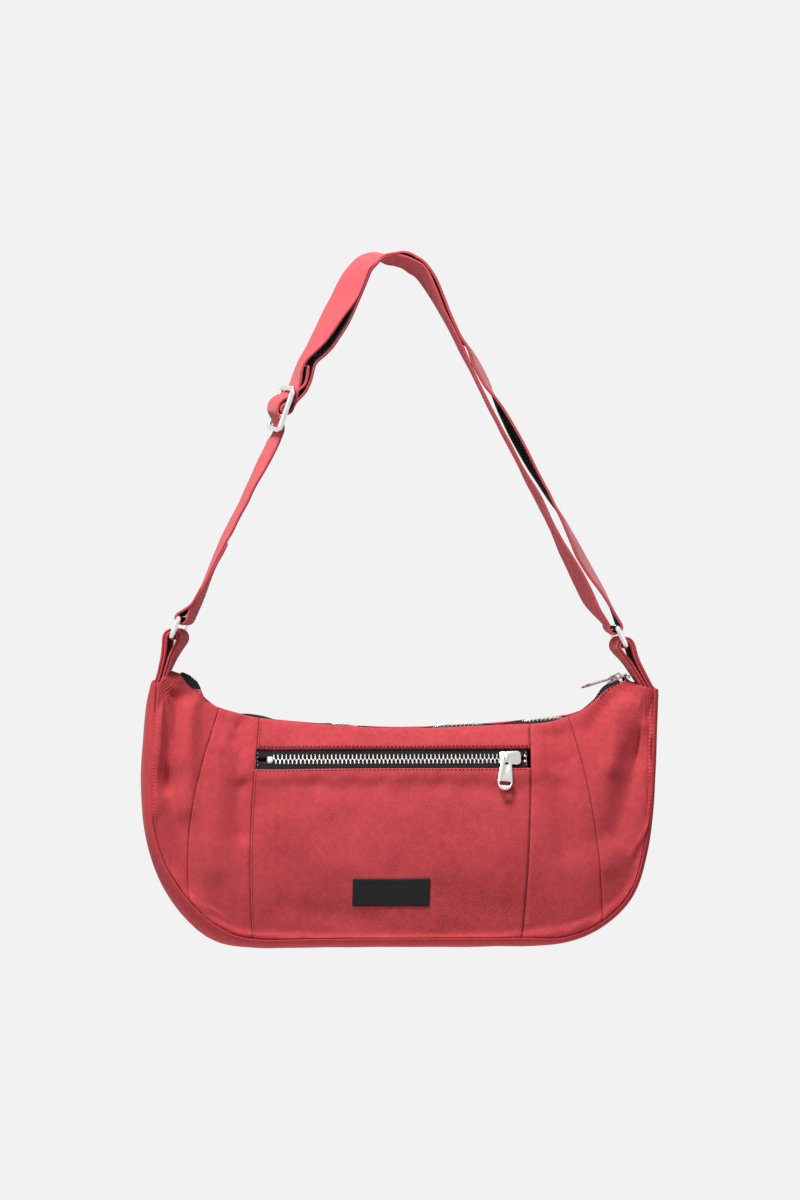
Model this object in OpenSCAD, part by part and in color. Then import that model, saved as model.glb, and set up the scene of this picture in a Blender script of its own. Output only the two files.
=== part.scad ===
// Crescent shoulder bag of twill with a folded strap, two rings, a slide adjuster and two metal zips.
// It hangs from the crown of its strap, which is the origin. The front faces -Y.

/* [Bag] */
// Width of the bag between its end seams
bag_w = 364; // [340:1:380]
// Depth of the gusset under the bag
bag_d = 92; // [84:1:100]
// Drop of the gusset below its seams, under the middle
gusset_drop = 6.1; // [5:0.1:7]
// Thickness of one cloth wall
cloth_t = 1.6; // [1.2:0.1:1.8]
// Gap left where two pieces are sewn together
seam_gap = 0.3; // [0.2:0.1:0.4]

/* [Label] */
// Width of the sewn patch
label_w = 55; // [40:1:70]
// Height of the sewn patch
label_h = 20; // [15:1:25]

/* [Strap] */
// Width of the strap
strap_w = 38; // [34:1:38]
// Thickness of the folded strap
strap_t = 2.4; // [2:0.1:2.4]
// Thickness of a tab at its base
tab_t = 9; // [8:0.5:9.5]

/* [Hardware] */
// Diameter of the ring wire
ring_wire = 3.8; // [3.4:0.1:3.8]
// Distance between the two strap bars of a ring
ring_bars = 15.4; // [14.6:0.2:15.6]
// Inner width of the rings and of the adjuster
ring_in = 40; // [39.4:0.2:42]
// Outer length of the adjuster
adjuster_l = 35; // [34:1:36]

/* [Zips] */
// Pitch of the metal teeth along one row
tooth_pitch = 3; // [2.8:0.1:3.4]
// Width of the closed chain
chain_w = 6.4; // [6:0.1:6.6]
// Thickness of the chain
chain_t = 2.4; // [2.2:0.1:2.4]
// Length of a puller
puller_l = 26; // [22:1:28]
// Width of a puller at its tip
puller_w = 10.6; // [9:0.2:11]

/* [Hidden] */

twill = [0.78, 0.24, 0.28];
tape_black = [0.14, 0.14, 0.16];
nickel = [0.86, 0.85, 0.82];

fit_x = bag_w / 364;
fit_y = bag_d / 92;

// Gusset seam of the front, from the left corner round the base to the right corner: x, half depth, z
SEAM = [
    [-178.5, 24, -328], [-179.5, 30, -352], [-180, 35, -383], [-179, 39, -412], [-170, 42, -441],
    [-152.5, 44, -467], [-131, 45, -485.5], [-107, 45.5, -494], [-58, 46, -494], [-10, 46, -494],
    [38, 46, -494], [86.5, 45.5, -494], [117, 45, -494], [144.5, 44, -483], [165, 42, -462],
    [175.2, 39.5, -430.5], [179.7, 36, -398.5], [181.8, 31, -366], [183.4, 25, -336]];
// Zip edge of the front over the same stations: x, z
TOP = [
    [-162.5, -306], [-157.5, -305], [-151, -312.5], [-144.5, -320], [-138, -326.5],
    [-131.5, -331], [-118.5, -334.5], [-102.5, -337.5], [-53.5, -342], [-4.5, -344.5],
    [45, -343.8], [94.5, -340.5], [109.5, -338.8], [122.5, -335.5], [133, -331],
    [142, -324.5], [149.5, -317.5], [157.6, -311.5], [163.6, -311]];
// Sideways bow of the upright lines at the same stations
BOW = [0, -2, -5, -7.5, -9, -8.5, -6, -4, -2, 0, 1, 2, 4, 5.5, 5.5, 4.5, 3, 1.5, 0];
// Drop of the gusset at the same stations, as a share of the full drop: its left corner sags most
DROP = [0.55, 0.8, 0.95, 0.8, 1.2, 1.65, 1.7, 1, 1, 1, 1, 1, 0.46, 0.36, 0.25, 0.2, 0.1, 0.08, 0.1];
// Stations of the upright seams
left_end_u = 5;
centre_left_u = 7;
centre_right_u = 11;
right_end_u = 13;
last_u = 18;
// Height share and level of the pocket opening
waist_v = 0.89;
window_v = 0.8;
waist_z = -358.5;
// Half width of the gap for the top zip, and outward belly of the front
edge_y = 7.5;
belly = 4;

// Strap route: x, z, and the turn of the strap about its own run in degrees
OUTER_RUN = [
    [-60, -60, 20], [-48.7, -43.5, 27], [-38.5, -26, 30], [-31.2, -12.8, 31], [-26.2, -6, 28],
    [-20, -1.6, 22], [-11, 1.2, 12], [0, 1.2, 2], [8.5, -3, -6], [15.5, -9.9, -11], [23.4, -21, -13],
    [31.8, -37, -11], [39.9, -54.3, -9], [61.1, -94.4, -8], [77.4, -122, -8], [93, -151.2, -9],
    [113.6, -188.9, -9], [130.2, -217.5, -8], [147, -243.5, -5], [157.5, -262.6, -1]];
INNER_RUN = [
    [-49.8, -61.6, 22], [-41.2, -46.6, 27], [-33, -30.4, 30], [-26.4, -17.4, 31], [-21.8, -11.4, 29],
    [-16.8, -7.8, 23], [-10, -4.8, 13], [-1.4, -4.1, 2], [5, -7, -6], [11.4, -13.4, -11],
    [19.3, -24, -13], [27.8, -39.6, -11], [35.8, -56, -7], [56.9, -97.6, -1], [72.4, -126.4, 0],
    [87.6, -156, 0], [104, -187.5, -1], [119.6, -218.6, -4], [133.6, -243.2, -6], [146.4, -260.6, -2]];
LOWER_RUN = [[-136, -225.5, 9], [-127.4, -207.9, 11], [-117.1, -183.7, 14], [-107.5, -163.6, 15],
    [-98.3, -145, 13]];
strap_half = strap_t / 2;
wire_r = ring_wire / 2;
loop_r = wire_r + 1.25 + strap_half;

ring_left_c = [-160.8 * fit_x, -271.9];
ring_left_lean = -21.7;
ring_right_c = [159.6 * fit_x, -278.5];
ring_right_lean = 25.3;
adjuster_c = [-83.4, -112];
adjuster_lean = -14.3;
adjuster_yaw = 10;
// Middle of the arm opening, inside the strap
arm_c = [-5, -190];
adjuster_wire = 4;
adjuster_bar = (adjuster_l - adjuster_wire) / 2;

// Axis of the fold at the foot of each tab
fold_left = [-173.6 * fit_x, -307];
fold_right = [180 * fit_x, -315];
fold_r = strap_w / 2;

// Top zip: x, z of the closed chain
CHAIN = [
    [-153, -308], [-148, -312], [-142, -318.5], [-134, -325.5], [-122, -331], [-105, -335.5],
    [-75, -340], [-40, -343.5], [0, -345.5], [40, -344.5], [75, -341], [105, -336.5], [125, -331],
    [140, -324], [150, -317.5], [159, -312], [166, -309.8], [171, -309.2]];
// Place of the top slider at the right end of its travel, and the slope of the chain there
top_slider_at = [161, -311.3];
top_slider_slope = 25;

// Pocket zip, along X in the plane of its opening
pocket_x0 = -96;
pocket_x1 = 74;
pocket_slider_x = 80;
pocket_recess = 3.1;
pocket_bridge_x = -3.4;
pocket_tape_x0 = -104;
pocket_tape_x1 = 91;
// Ends of the pouch behind it
pouch_x0 = -98;
pouch_x1 = 86;
// Thickness of the woven tapes
tape_t = 0.7;

function lerp(a, b, t) = a + (b - a) * t;

function spline(p0, p1, p2, p3, f) = 0.5 * (2 * p1 + (p2 - p0) * f
    + (2 * p0 - 5 * p1 + 4 * p2 - p3) * f * f + (3 * p1 - p0 - 3 * p2 + p3) * f * f * f);

function along(line, u) =
    let (n = len(line) - 1, i = min(floor(u), n - 1))
    spline(line[max(i - 1, 0)], line[i], line[i + 1], line[min(i + 2, n)], u - i);

function steps(a, b, n) = [for (i = [0 : n]) lerp(a, b, i / n)];

// Level of the pocket opening over all stations: straight across the centre panel
WAIST = [for (k = [0 : last_u])
    let (p = lerp([SEAM[k].x, SEAM[k].z], TOP[k], waist_v))
    k >= centre_left_u && k <= centre_right_u ? [p.x, waist_z] : p];

// Half depth of the body, from 0 at the gusset seam to 1 at the zip edge
function half_depth(half, v) =
    edge_y + (half - edge_y) * pow(max(0, 1 - pow(v, 2.2)), 0.8) + belly * sin(180 * v);

// A point of the outer face of the front
function wall(u, v) =
    let (s = along(SEAM, u), w = along(WAIST, u), t = along(TOP, u),
        p = v < waist_v ? lerp([s.x, s.z], w, v / waist_v) : lerp(w, t, (v - waist_v) / (1 - waist_v)))
    [(p.x + along(BOW, u) * 4 * v * (1 - v)) * fit_x, -half_depth(s.y * fit_y, v), p.y];

// The direction into the bag at that point
function inward(u, v) =
    let (a = wall(min(u + 0.05, last_u), v) - wall(max(u - 0.05, 0), v),
        b = wall(u, min(v + 0.02, 1)) - wall(u, max(v - 0.02, 0)),
        n = cross(b, a))
    n / norm(n);

// Outward direction of the gusset seam in the XZ plane
function outward(u) =
    let (a = along(SEAM, min(u + 0.1, last_u)), b = along(SEAM, max(u - 0.1, 0)),
        t = [(a.x - b.x) * fit_x, a.z - b.z])
    [t.y, -t.x] / norm(t);

// A closed skin between two grids of points
module skin(outer, inner) {
    nu = len(outer) - 1;
    nv = len(outer[0]) - 1;
    n = (nu + 1) * (nv + 1);
    function id(i, j) = i * (nv + 1) + j;
    function quad(a, b, c, d) = [[a, b, c], [a, c, d]];
    polyhedron(
        points = concat([for (r = outer) each r], [for (r = inner) each r]),
        faces = concat(
            [for (i = [0 : nu - 1], j = [0 : nv - 1])
                each quad(id(i, j), id(i, j + 1), id(i + 1, j + 1), id(i + 1, j))],
            [for (i = [0 : nu - 1], j = [0 : nv - 1])
                each quad(n + id(i, j), n + id(i + 1, j), n + id(i + 1, j + 1), n + id(i, j + 1))],
            [for (i = [0 : nu - 1])
                each quad(id(i, 0), id(i + 1, 0), n + id(i + 1, 0), n + id(i, 0))],
            [for (i = [0 : nu - 1])
                each quad(id(i + 1, nv), id(i, nv), n + id(i, nv), n + id(i + 1, nv))],
            [for (j = [0 : nv - 1])
                each quad(id(0, j + 1), id(0, j), n + id(0, j), n + id(0, j + 1))],
            [for (j = [0 : nv - 1])
                each quad(id(nu, j), id(nu, j + 1), n + id(nu, j + 1), n + id(nu, j))]));
}

// Rows of points on a panel: closer where the pocket opening and the zip edge bend it
LEVELS = [0, 0.16, 0.34, 0.52, 0.67, window_v, waist_v, 0.93, 0.965, 1];

function levels(v0, v1) = [for (v = LEVELS) if (v >= v0 && v <= v1) v];

function stations(u0, u1) = steps(u0, u1, ceil((u1 - u0 - 0.1) * 1.8));

// A sheet that follows the front at the given stations and heights, between two depths under its face
module front_sheet(us, vs, t0, t1) {
    skin([for (u = us) [for (v = vs) wall(u, v) + inward(u, v) * t0]],
        [for (u = us) [for (v = vs) wall(u, v) + inward(u, v) * t1]]);
}

module front_piece(u0, u1, v0 = 0, v1 = 1) {
    front_sheet(stations(u0, u1), levels(v0, v1), 0, cloth_t);
}

// Half a seam gap, in stations
gap_u = seam_gap / 90;

module left_end() {
    front_piece(0, left_end_u - gap_u);
}

module left_side() {
    front_piece(left_end_u + gap_u, centre_left_u - gap_u);
}

module right_side() {
    front_piece(centre_right_u + gap_u, right_end_u - gap_u);
}

module right_end() {
    front_piece(right_end_u + gap_u, last_u);
}

module centre_piece(v0, v1) {
    front_piece(centre_left_u + gap_u, centre_right_u - gap_u, v0, v1);
}

// The gusset: flat under the middle, rising to its two seams
module gusset() {
    drop_share = [0, 0.62, 1, 1, 0.62, 0];
    across = [1, 0.86, 0.6, -0.6, -0.86, -1];
    us = steps(0, last_u, 42);
    function at(u, k, t) =
        let (s = along(SEAM, u), o = outward(u),
            d = seam_gap + t + along(DROP, u) * gusset_drop * drop_share[k])
        [s.x * fit_x + o.x * d, s.y * fit_y * across[k], s.z + o.y * d];
    color(twill)
    skin([for (u = us) [for (k = [0 : 5]) at(u, k, cloth_t)]],
        [for (u = us) [for (k = [0 : 5]) at(u, k, 0)]]);
}

// Woven tape over the seam allowance inside
module binding() {
    us = steps(0.3, last_u - 0.3, 36);
    lift = 2;
    function at(u, y, t) =
        let (s = along(SEAM, u), o = outward(u))
        [s.x * fit_x - o.x * (lift + t), -s.y * fit_y + y, s.z - o.y * (lift + t)];
    color(tape_black)
    skin([for (u = us) [for (y = [11, 4.5]) at(u, y, 0)]],
        [for (u = us) [for (y = [11, 4.5]) at(u, y, tape_t)]]);
}

module label_patch() {
    label_mid_u = centre_left_u + 1.98;
    label_mid_v = 0.222;
    // width of one station and height of the front here
    station_w = 48.4;
    front_h = 152;
    du = label_w / 2 / (station_w * fit_x);
    dv = label_h / 2 / front_h;
    color(tape_black)
    front_sheet(steps(label_mid_u - du, label_mid_u + du, 4),
        steps(label_mid_v - dv, label_mid_v + dv, 2), -1.3, -0.6);
}

// Children drawn in the XZ plane, from y0 to y1
module slab_y(y0, y1) {
    translate([0, y1, 0]) rotate([90, 0, 0]) linear_extrude(y1 - y0) children();
}

// A strip that follows a route of x, z and turn, with a rectangular section. The turn leans the far
// edge away from the arm opening, or along a fourth value, an angle in the XZ plane.
module strip(route, width, thickness) {
    n = len(route) - 1;
    function run(i) =
        let (a = route[min(i + 1, n)], b = route[max(i - 1, 0)], t = [a.x - b.x, 0, a.y - b.y])
        t / norm(t);
    function lean(i) =
        let (p = route[i], t = run(i), away = [p.x - arm_c.x, 0, p.y - arm_c.y],
            out = away - t * (away * t))
        len(p) > 3 ? [cos(p[3]), 0, sin(p[3])] : out / norm(out);
    function corner(i, side, face) =
        let (p = route[i], w = [0, cos(p.z), 0] + lean(i) * sin(p.z), q = cross(run(i), w))
        [p.x, 0, p.y] + w * side * width / 2 + q / norm(q) * face * thickness / 2;
    points = [for (i = [0 : n]) each
        [corner(i, -1, -1), corner(i, 1, -1), corner(i, 1, 1), corner(i, -1, 1)]];
    sides = [for (i = [0 : n - 1], k = [0 : 3])
        let (a = i * 4 + k, b = i * 4 + (k + 1) % 4)
        each [[a, b + 4, b], [a, a + 4, b + 4]]];
    polyhedron(points = points,
        faces = concat(sides, [[0, 2, 3], [0, 1, 2], [4 * n, 4 * n + 2, 4 * n + 1],
            [4 * n, 4 * n + 3, 4 * n + 2]]));
}

// A place beside the adjuster: s along it upwards, n away from the arm opening, strap in line with its bars
function by_adjuster(s, n) =
    let (g = [sin(-adjuster_lean), cos(adjuster_lean)], o = [-g.y, g.x])
    [adjuster_c.x + g.x * s + o.x * n, adjuster_c.y + g.y * s + o.y * n,
        adjuster_yaw, 180 + adjuster_lean];

// Points of a loop round a ring bar, from one angle to another
function loop_round(c, r, a0, a1, n) =
    [for (a = steps(a0, a1, n)) [c.x + r * cos(a), c.y + r * sin(a), 0]];

function bar_at(c, lean, s) = [c.x - sin(lean) * s, c.y + cos(lean) * s];

upper_left = bar_at(ring_left_c, ring_left_lean, ring_bars / 2);
upper_right = bar_at(ring_right_c, ring_right_lean, ring_bars / 2);

// The strap under the bottom bar, over the middle bar and under the top bar of the adjuster
weave_r = adjuster_wire / 2 + 0.4 + strap_half;
WOVEN = [
    by_adjuster(-adjuster_bar - 4, -weave_r - 0.6), by_adjuster(-adjuster_bar, -weave_r - 0.1),
    by_adjuster(-adjuster_bar + 4.5, -2.4), by_adjuster(-adjuster_bar + 8.5, 2.2), by_adjuster(-4.5, 6.4),
    by_adjuster(0, 8), by_adjuster(4, 6.4), by_adjuster(adjuster_bar - 7.5, 2.2),
    by_adjuster(adjuster_bar - 4, -2.2), by_adjuster(adjuster_bar, -weave_r)];
JOIN = [-67.6, -76, 12];
JOIN_STEP = [1.2, 2.75, 0];

module strap_lower_run() {
    // the end is turned round the left ring and lies back on the strap
    turned = [[-130.8, -205, 10], [-139.8, -223.1, 9], [-150.6, -244.8, 3]];
    color(twill)
    strip(concat(turned, loop_round(upper_left, loop_r, 160, 340, 7), [[-147.2, -248.5, 3]],
        LOWER_RUN, WOVEN, [JOIN - JOIN_STEP, JOIN]), strap_w, strap_t);
}

module strap_outer_run() {
    color(twill)
    strip(concat([JOIN + JOIN_STEP * 0.002, JOIN + JOIN_STEP], OUTER_RUN,
        loop_round(upper_right, loop_r, 28, -75, 4)), strap_w, strap_t);
}

module strap_inner_run() {
    color(twill)
    strip(concat(loop_round(upper_right, loop_r, -86, -196, 5),
        [for (i = [len(INNER_RUN) - 1 : -1 : 0]) INNER_RUN[i]],
        [[-58, -76, 16], [-66, -89, 12], by_adjuster(adjuster_bar, -10.8), by_adjuster(10, -9.2),
        by_adjuster(4.6, -6.6), by_adjuster(0, -4.4), by_adjuster(-3.2, -2.6), by_adjuster(-4, 0),
        by_adjuster(-2.6, 3), by_adjuster(0.6, 3.8), by_adjuster(3.6, 2.2), by_adjuster(6.2, -1.6),
        by_adjuster(9.8, -5.9), by_adjuster(adjuster_bar, -7.9), [-67.6, -86.2, 12],
        [-60.4, -74, 15]]), strap_w, strap_t);
}

// Folded tab: an eye round the ring's lower bar and a foot rounded about the fold axis
module tab(foot, eye) {
    d = eye - foot;
    l = norm(d);
    lean = atan2(-d.x, d.y);
    eye_r = wire_r + 1.25;
    color(twill)
    difference() {
        union() {
            translate([foot.x, 0, foot.y]) rotate([0, -lean, 0]) {
                translate([-tab_t / 2, -strap_w / 2, 0]) cube([tab_t, strap_w, l]);
                translate([0, strap_w / 2, l]) rotate([90, 0, 0])
                    cylinder(r = eye_r + 2.4, h = strap_w, $fn = 40);
            }
            intersection() {
                translate([foot.x - tab_t / 2, 0, foot.y]) rotate([0, 90, 0])
                    cylinder(r = fold_r, h = tab_t, $fn = 64);
                translate([foot.x - tab_t, -strap_w, foot.y - strap_w])
                    cube([2 * tab_t, 2 * strap_w, strap_w + 3]);
            }
        }
        translate([eye.x, strap_w, eye.y]) rotate([90, 0, 0])
            cylinder(r = eye_r, h = 2 * strap_w, $fn = 40);
    }
}

lower_left = bar_at(ring_left_c, ring_left_lean, -ring_bars / 2);
lower_right = bar_at(ring_right_c, ring_right_lean, -ring_bars / 2);

module tab_left() {
    tab(fold_left, lower_left);
}

module tab_right() {
    tab(fold_right, lower_right);
}

// Bent wire frame with bars across at the given heights
module wire_frame(wire, heights) {
    side_y = (ring_in + wire) / 2;
    low = heights[0];
    high = heights[len(heights) - 1];
    for (s = [-1, 1]) {
        translate([0, s * side_y, low]) cylinder(d = wire, h = high - low, $fn = 24);
        for (z = [low, high])
            translate([0, s * side_y, z]) sphere(d = wire, $fn = 24);
    }
    for (z = heights)
        translate([0, side_y, z]) rotate([90, 0, 0]) cylinder(d = wire, h = 2 * side_y, $fn = 24);
}

module ring(c, lean) {
    color(nickel)
    translate([c.x, 0, c.y]) rotate([0, -lean, 0])
        wire_frame(ring_wire, [-ring_bars / 2, ring_bars / 2]);
}

module ring_left() {
    ring(ring_left_c, ring_left_lean);
}

module ring_right() {
    ring(ring_right_c, ring_right_lean);
}

module adjuster_slide() {
    color(nickel)
    translate([adjuster_c.x, 0, adjuster_c.y]) rotate([0, -adjuster_lean, 0]) rotate([0, 0, adjuster_yaw])
        wire_frame(adjuster_wire, [-adjuster_bar, 0, adjuster_bar]);
}

// The pocket zip lies in the plane of its opening, which leans back towards the top zip
pocket_top = wall(9, waist_v);
pocket_low = wall(9, window_v);
pocket_c = (pocket_top + pocket_low) / 2;
pocket_lean = atan2(pocket_top.y - pocket_low.y, pocket_top.z - pocket_low.z);
pocket_h = norm([pocket_top.y - pocket_low.y, pocket_top.z - pocket_low.z]);

// Children drawn flat, x along the zip, y up the panel, z out of it, in the middle of the tape
module in_pocket() {
    translate([0, pocket_c.y, pocket_c.z]) rotate([90 - pocket_lean, 0, 0])
        translate([0, 0, -pocket_recess]) children();
}

module pocket_tape(side) {
    near = chain_w / 2 + 0.1;
    reach = pocket_h / 2 + 4;
    color(tape_black)
    in_pocket() translate([pocket_tape_x0 * fit_x, side > 0 ? near : -reach, -tape_t / 2])
        cube([(pocket_tape_x1 - pocket_tape_x0) * fit_x, reach - near, tape_t]);
}

// One row of teeth as a comb: positions along the row, tooth height to either side of the web
function comb(n, pitch, tooth, web_h, tooth_h) =
    [for (k = [0 : n - 1]) each
        [[k * pitch, web_h], [k * pitch, tooth_h], [k * pitch + tooth, tooth_h], [k * pitch + tooth, web_h]]];

function comb_back(n, pitch, tooth, web_h, tooth_h) =
    let (up = comb(n, pitch, tooth, web_h, tooth_h))
    [for (i = [len(up) - 1 : -1 : 0]) [up[i].x, -up[i].y]];

module pocket_teeth(side) {
    n = floor((pocket_x1 - pocket_x0) / tooth_pitch);
    tooth = tooth_pitch * 0.5;
    shift = side > 0 ? 0 : tooth_pitch / 2;
    color(nickel)
    in_pocket() translate([pocket_x0 + shift, 0, 0])
        translate([0, side > 0 ? chain_w / 2 : -0.1, 0]) rotate([90, 0, 0])
            linear_extrude(chain_w / 2 - 0.1)
                polygon(concat(comb(n, tooth_pitch, tooth, 0.5, chain_t / 2),
                    comb_back(n, tooth_pitch, tooth, 0.5, chain_t / 2)));
}

module pocket_stop_left() {
    color(nickel)
    in_pocket() translate([pocket_x0 - 5.6, -3.3, -1.3]) cube([5, 6.6, 2.6]);
}

module pocket_stops_right() {
    color(nickel)
    in_pocket() for (s = [-1, 1])
        translate([pocket_slider_x + 9.4, s * 2.1 - 1, -1.2]) cube([1.8, 2, 2.4]);
}

// Play of the chain in a slider, and thickness of a slider's plates
slider_play = 0.2;
slider_plate = 1.2;

// Zip slider: two plates, the wedge that parts the rows, and the bridge for the puller
module slider_body(bridge_turn, bridge_x) {
    channel = chain_t / 2 + slider_play;
    plate_t = slider_plate;
    module plate(share) {
        hull() {
            for (s = [-1, 1])
                translate([4, s * 2.4 * share]) circle(3 * share, $fn = 24);
            for (s = [-1, 1])
                translate([-7.5, s * (4.6 * share - 1)]) circle(1, $fn = 16);
        }
    }
    translate([0, 0, channel]) linear_extrude(plate_t) plate(1);
    translate([0, 0, -channel - plate_t]) linear_extrude(plate_t) plate(0.8);
    translate([0, 0, -channel - 0.1]) linear_extrude(2 * channel + 0.2)
        polygon([[2.2, 0], [4.6, 1.4], [6, 1], [6, -1], [4.6, -1.4]]);
    translate([bridge_x, 0, channel + plate_t]) rotate([0, 0, bridge_turn])
        slab_y(-1.1, 1.1) difference() {
            polygon([[-5.3, -0.1], [-4.8, 3.1], [2.3, 3.1], [3.4, -0.1]]);
            polygon([[-3.9, -0.2], [-3.7, 2.1], [1.5, 2.1], [2, -0.2]]);
        }
}

pivot_z = chain_t / 2 + slider_play + slider_plate + 1.02;

// Flat puller hanging along -X from a round pin in the bridge
module puller_plate() {
    thick = 1.3;
    neck = 7;
    eye_l = 6.3;
    eye_w = 3.4;
    rotate([90, 0, 0]) cylinder(r = thick / 2, h = neck, center = true, $fn = 24);
    translate([0, 0, -thick / 2]) linear_extrude(thick) difference() {
        hull() {
            translate([-1, 0]) square([2, neck], center = true);
            translate([-puller_l + 4, 0]) circle(puller_w / 2 - 0.6, $fn = 40);
            translate([-puller_l + 6, 0]) circle(puller_w / 2, $fn = 40);
        }
        translate([-eye_l / 2, 0]) square([eye_l + 0.02, eye_w], center = true);
        hull() for (s = [-1, 1])
            translate([-puller_l + 4.6, s * 2.6]) circle(1.7, $fn = 24);
    }
}

module pocket_slider() {
    color(nickel)
    in_pocket() translate([pocket_slider_x, 0, 0]) slider_body(90, pocket_bridge_x);
}

module pocket_puller() {
    color(nickel)
    in_pocket() translate([pocket_slider_x + pocket_bridge_x, 0, pivot_z])
        rotate([0, 0, 85]) rotate([0, 3, 0]) puller_plate();
}

// Pouch of thin lining cloth behind the pocket opening, open towards it
module pocket_pouch() {
    n_out = [-cos(pocket_lean), sin(pocket_lean)];
    up = [sin(pocket_lean), cos(pocket_lean)];
    c = [pocket_c.y, pocket_c.z];
    outer = [c - 7.6 * up - 6.6 * n_out, [-31, -396], [-34.5, -462], [-20, -464], [-12, -402],
        [-8.5, -376], c + 7.2 * up - 11 * n_out];
    sheet_t = 0.8;
    n = len(outer) - 1;
    function left(i) =
        let (t = outer[min(i + 1, n)] - outer[max(i - 1, 0)])
        [-t.y, t.x] / norm(t);
    ribbon = concat(outer, [for (i = [n : -1 : 0]) outer[i] + left(i) * sheet_t * 1.15]);
    color(twill)
    translate([pouch_x0 * fit_x, 0, 0]) rotate([90, 0, 90]) {
        linear_extrude((pouch_x1 - pouch_x0) * fit_x) polygon(ribbon);
        for (x = [0, (pouch_x1 - pouch_x0) * fit_x - sheet_t])
            translate([0, 0, x]) linear_extrude(sheet_t) polygon(outer);
    }
}

// The closed chain of the top zip as small steps with their distance along it
chain_n = 170;
chain_line = [for (i = [0 : chain_n])
    let (p = along(CHAIN, i / chain_n * (len(CHAIN) - 1))) [p.x * fit_x, p.y]];
chain_run = [for (i = 0, s = 0; i < len(chain_line);
    s = i + 1 < len(chain_line) ? s + norm(chain_line[i + 1] - chain_line[i]) : s, i = i + 1) s];
chain_x = [for (i = [0 : chain_n]) [chain_run[i], chain_line[i].x]];
chain_z = [for (i = [0 : chain_n]) [chain_run[i], chain_line[i].y]];

function on_chain(s) = [lookup(s, chain_x), lookup(s, chain_z)];

// A point at a height over the chain
function over_chain(s, h) =
    let (t = on_chain(s + 1) - on_chain(s - 1), n = [-t.y, t.x] / norm(t))
    on_chain(s) + n * h;

chain_start = 6;
chain_end_free = 18;
chain_teeth = floor((chain_run[len(chain_run) - 1] - chain_end_free - chain_start) / tooth_pitch);

module top_teeth(y0, y1, shift) {
    up = comb(chain_teeth, tooth_pitch, tooth_pitch * 0.5, 0.5, chain_t / 2);
    back = comb_back(chain_teeth, tooth_pitch, tooth_pitch * 0.5, 0.5, chain_t / 2);
    color(nickel)
    slab_y(y0, y1) polygon([for (p = concat(up, back)) over_chain(chain_start + shift + p.x, p.y)]);
}

// Tape of the top zip, from under the panel's edge to the chain
module top_tape() {
    us = concat([0.4], [for (u = [for (e = [[0, left_end_u], [left_end_u, centre_left_u],
        [centre_left_u, centre_right_u], [centre_right_u, right_end_u], [right_end_u, last_u]])
        each [for (u = stations(e.x, e.y)) if (u < e.y) u]]) if (u > 0.4 && u < last_u - 0.4) u],
        [last_u - 0.4]);
    under = cloth_t + 0.3;
    over_teeth = 0.35;
    function row(u, t) = [for (v = levels(0.93, 1)) wall(u, v) + inward(u, v) * (under + t)];
    function edge(u, t) =
        let (e = wall(u, 1)) [[e.x, -chain_w / 2 - 0.15, lookup(e.x, chain_line) - t + over_teeth]];
    color(tape_black)
    skin([for (u = us) concat(row(u, 0), edge(u, 0))],
        [for (u = us) concat(row(u, tape_t), edge(u, tape_t))]);
}

module top_stop_left() {
    p = on_chain(chain_start - 4);
    color(nickel)
    translate([p.x, 0, p.y]) rotate([0, 40, 0]) cube([4, 6.4, 2.6], center = true);
}

module top_stops_right() {
    color(nickel)
    for (s = [-1, 1])
        translate([168.1 * fit_x, s * 2.6, -308.3]) cube([1.4, 2, 2.2], center = true);
}

module at_top_slider() {
    translate([top_slider_at.x * fit_x, 0, top_slider_at.y]) rotate([0, -top_slider_slope, 0])
        children();
}

module top_slider() {
    color(nickel)
    at_top_slider() slider_body(0, 0);
}

module top_puller() {
    color(nickel)
    at_top_slider() translate([-0.9, 0, pivot_z]) rotate([0, 8, 0]) puller_plate();
}

strap_lower_run();
strap_outer_run();
strap_inner_run();
tab_left();
tab_right();
ring_left();
ring_right();
adjuster_slide();
color(twill) left_end();  // front_left_end
color(twill) left_side();  // front_left_side
color(twill) centre_piece(waist_v, 1);  // front_centre_top
color(twill) centre_piece(0, window_v);  // front_centre_bottom
color(twill) right_side();  // front_right_side
color(twill) right_end();  // front_right_end
color(twill) mirror([0, 1, 0]) left_end();  // back_left_end
color(twill) mirror([0, 1, 0]) left_side();  // back_left_side
color(twill) mirror([0, 1, 0]) centre_piece(0, 1);  // back_centre
color(twill) mirror([0, 1, 0]) right_side();  // back_right_side
color(twill) mirror([0, 1, 0]) right_end();  // back_right_end
gusset();
binding();  // binding_front
mirror([0, 1, 0]) binding();  // binding_back
label_patch();
pocket_pouch();
pocket_tape(1);  // pocket_tape_upper
pocket_tape(-1);  // pocket_tape_lower
pocket_teeth(1);  // pocket_teeth_upper
pocket_teeth(-1);  // pocket_teeth_lower
pocket_stop_left();
pocket_stops_right();
pocket_slider();
pocket_puller();
top_tape();  // top_tape_front
mirror([0, 1, 0]) top_tape();  // top_tape_back
top_teeth(-chain_w / 2, -0.1, 0);  // top_teeth_front
top_teeth(0.1, chain_w / 2, tooth_pitch / 2);  // top_teeth_back
top_stop_left();
top_stops_right();
top_slider();
top_puller();
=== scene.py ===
import math

import bmesh
import bpy
from mathutils import Matrix, Vector, noise


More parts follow.
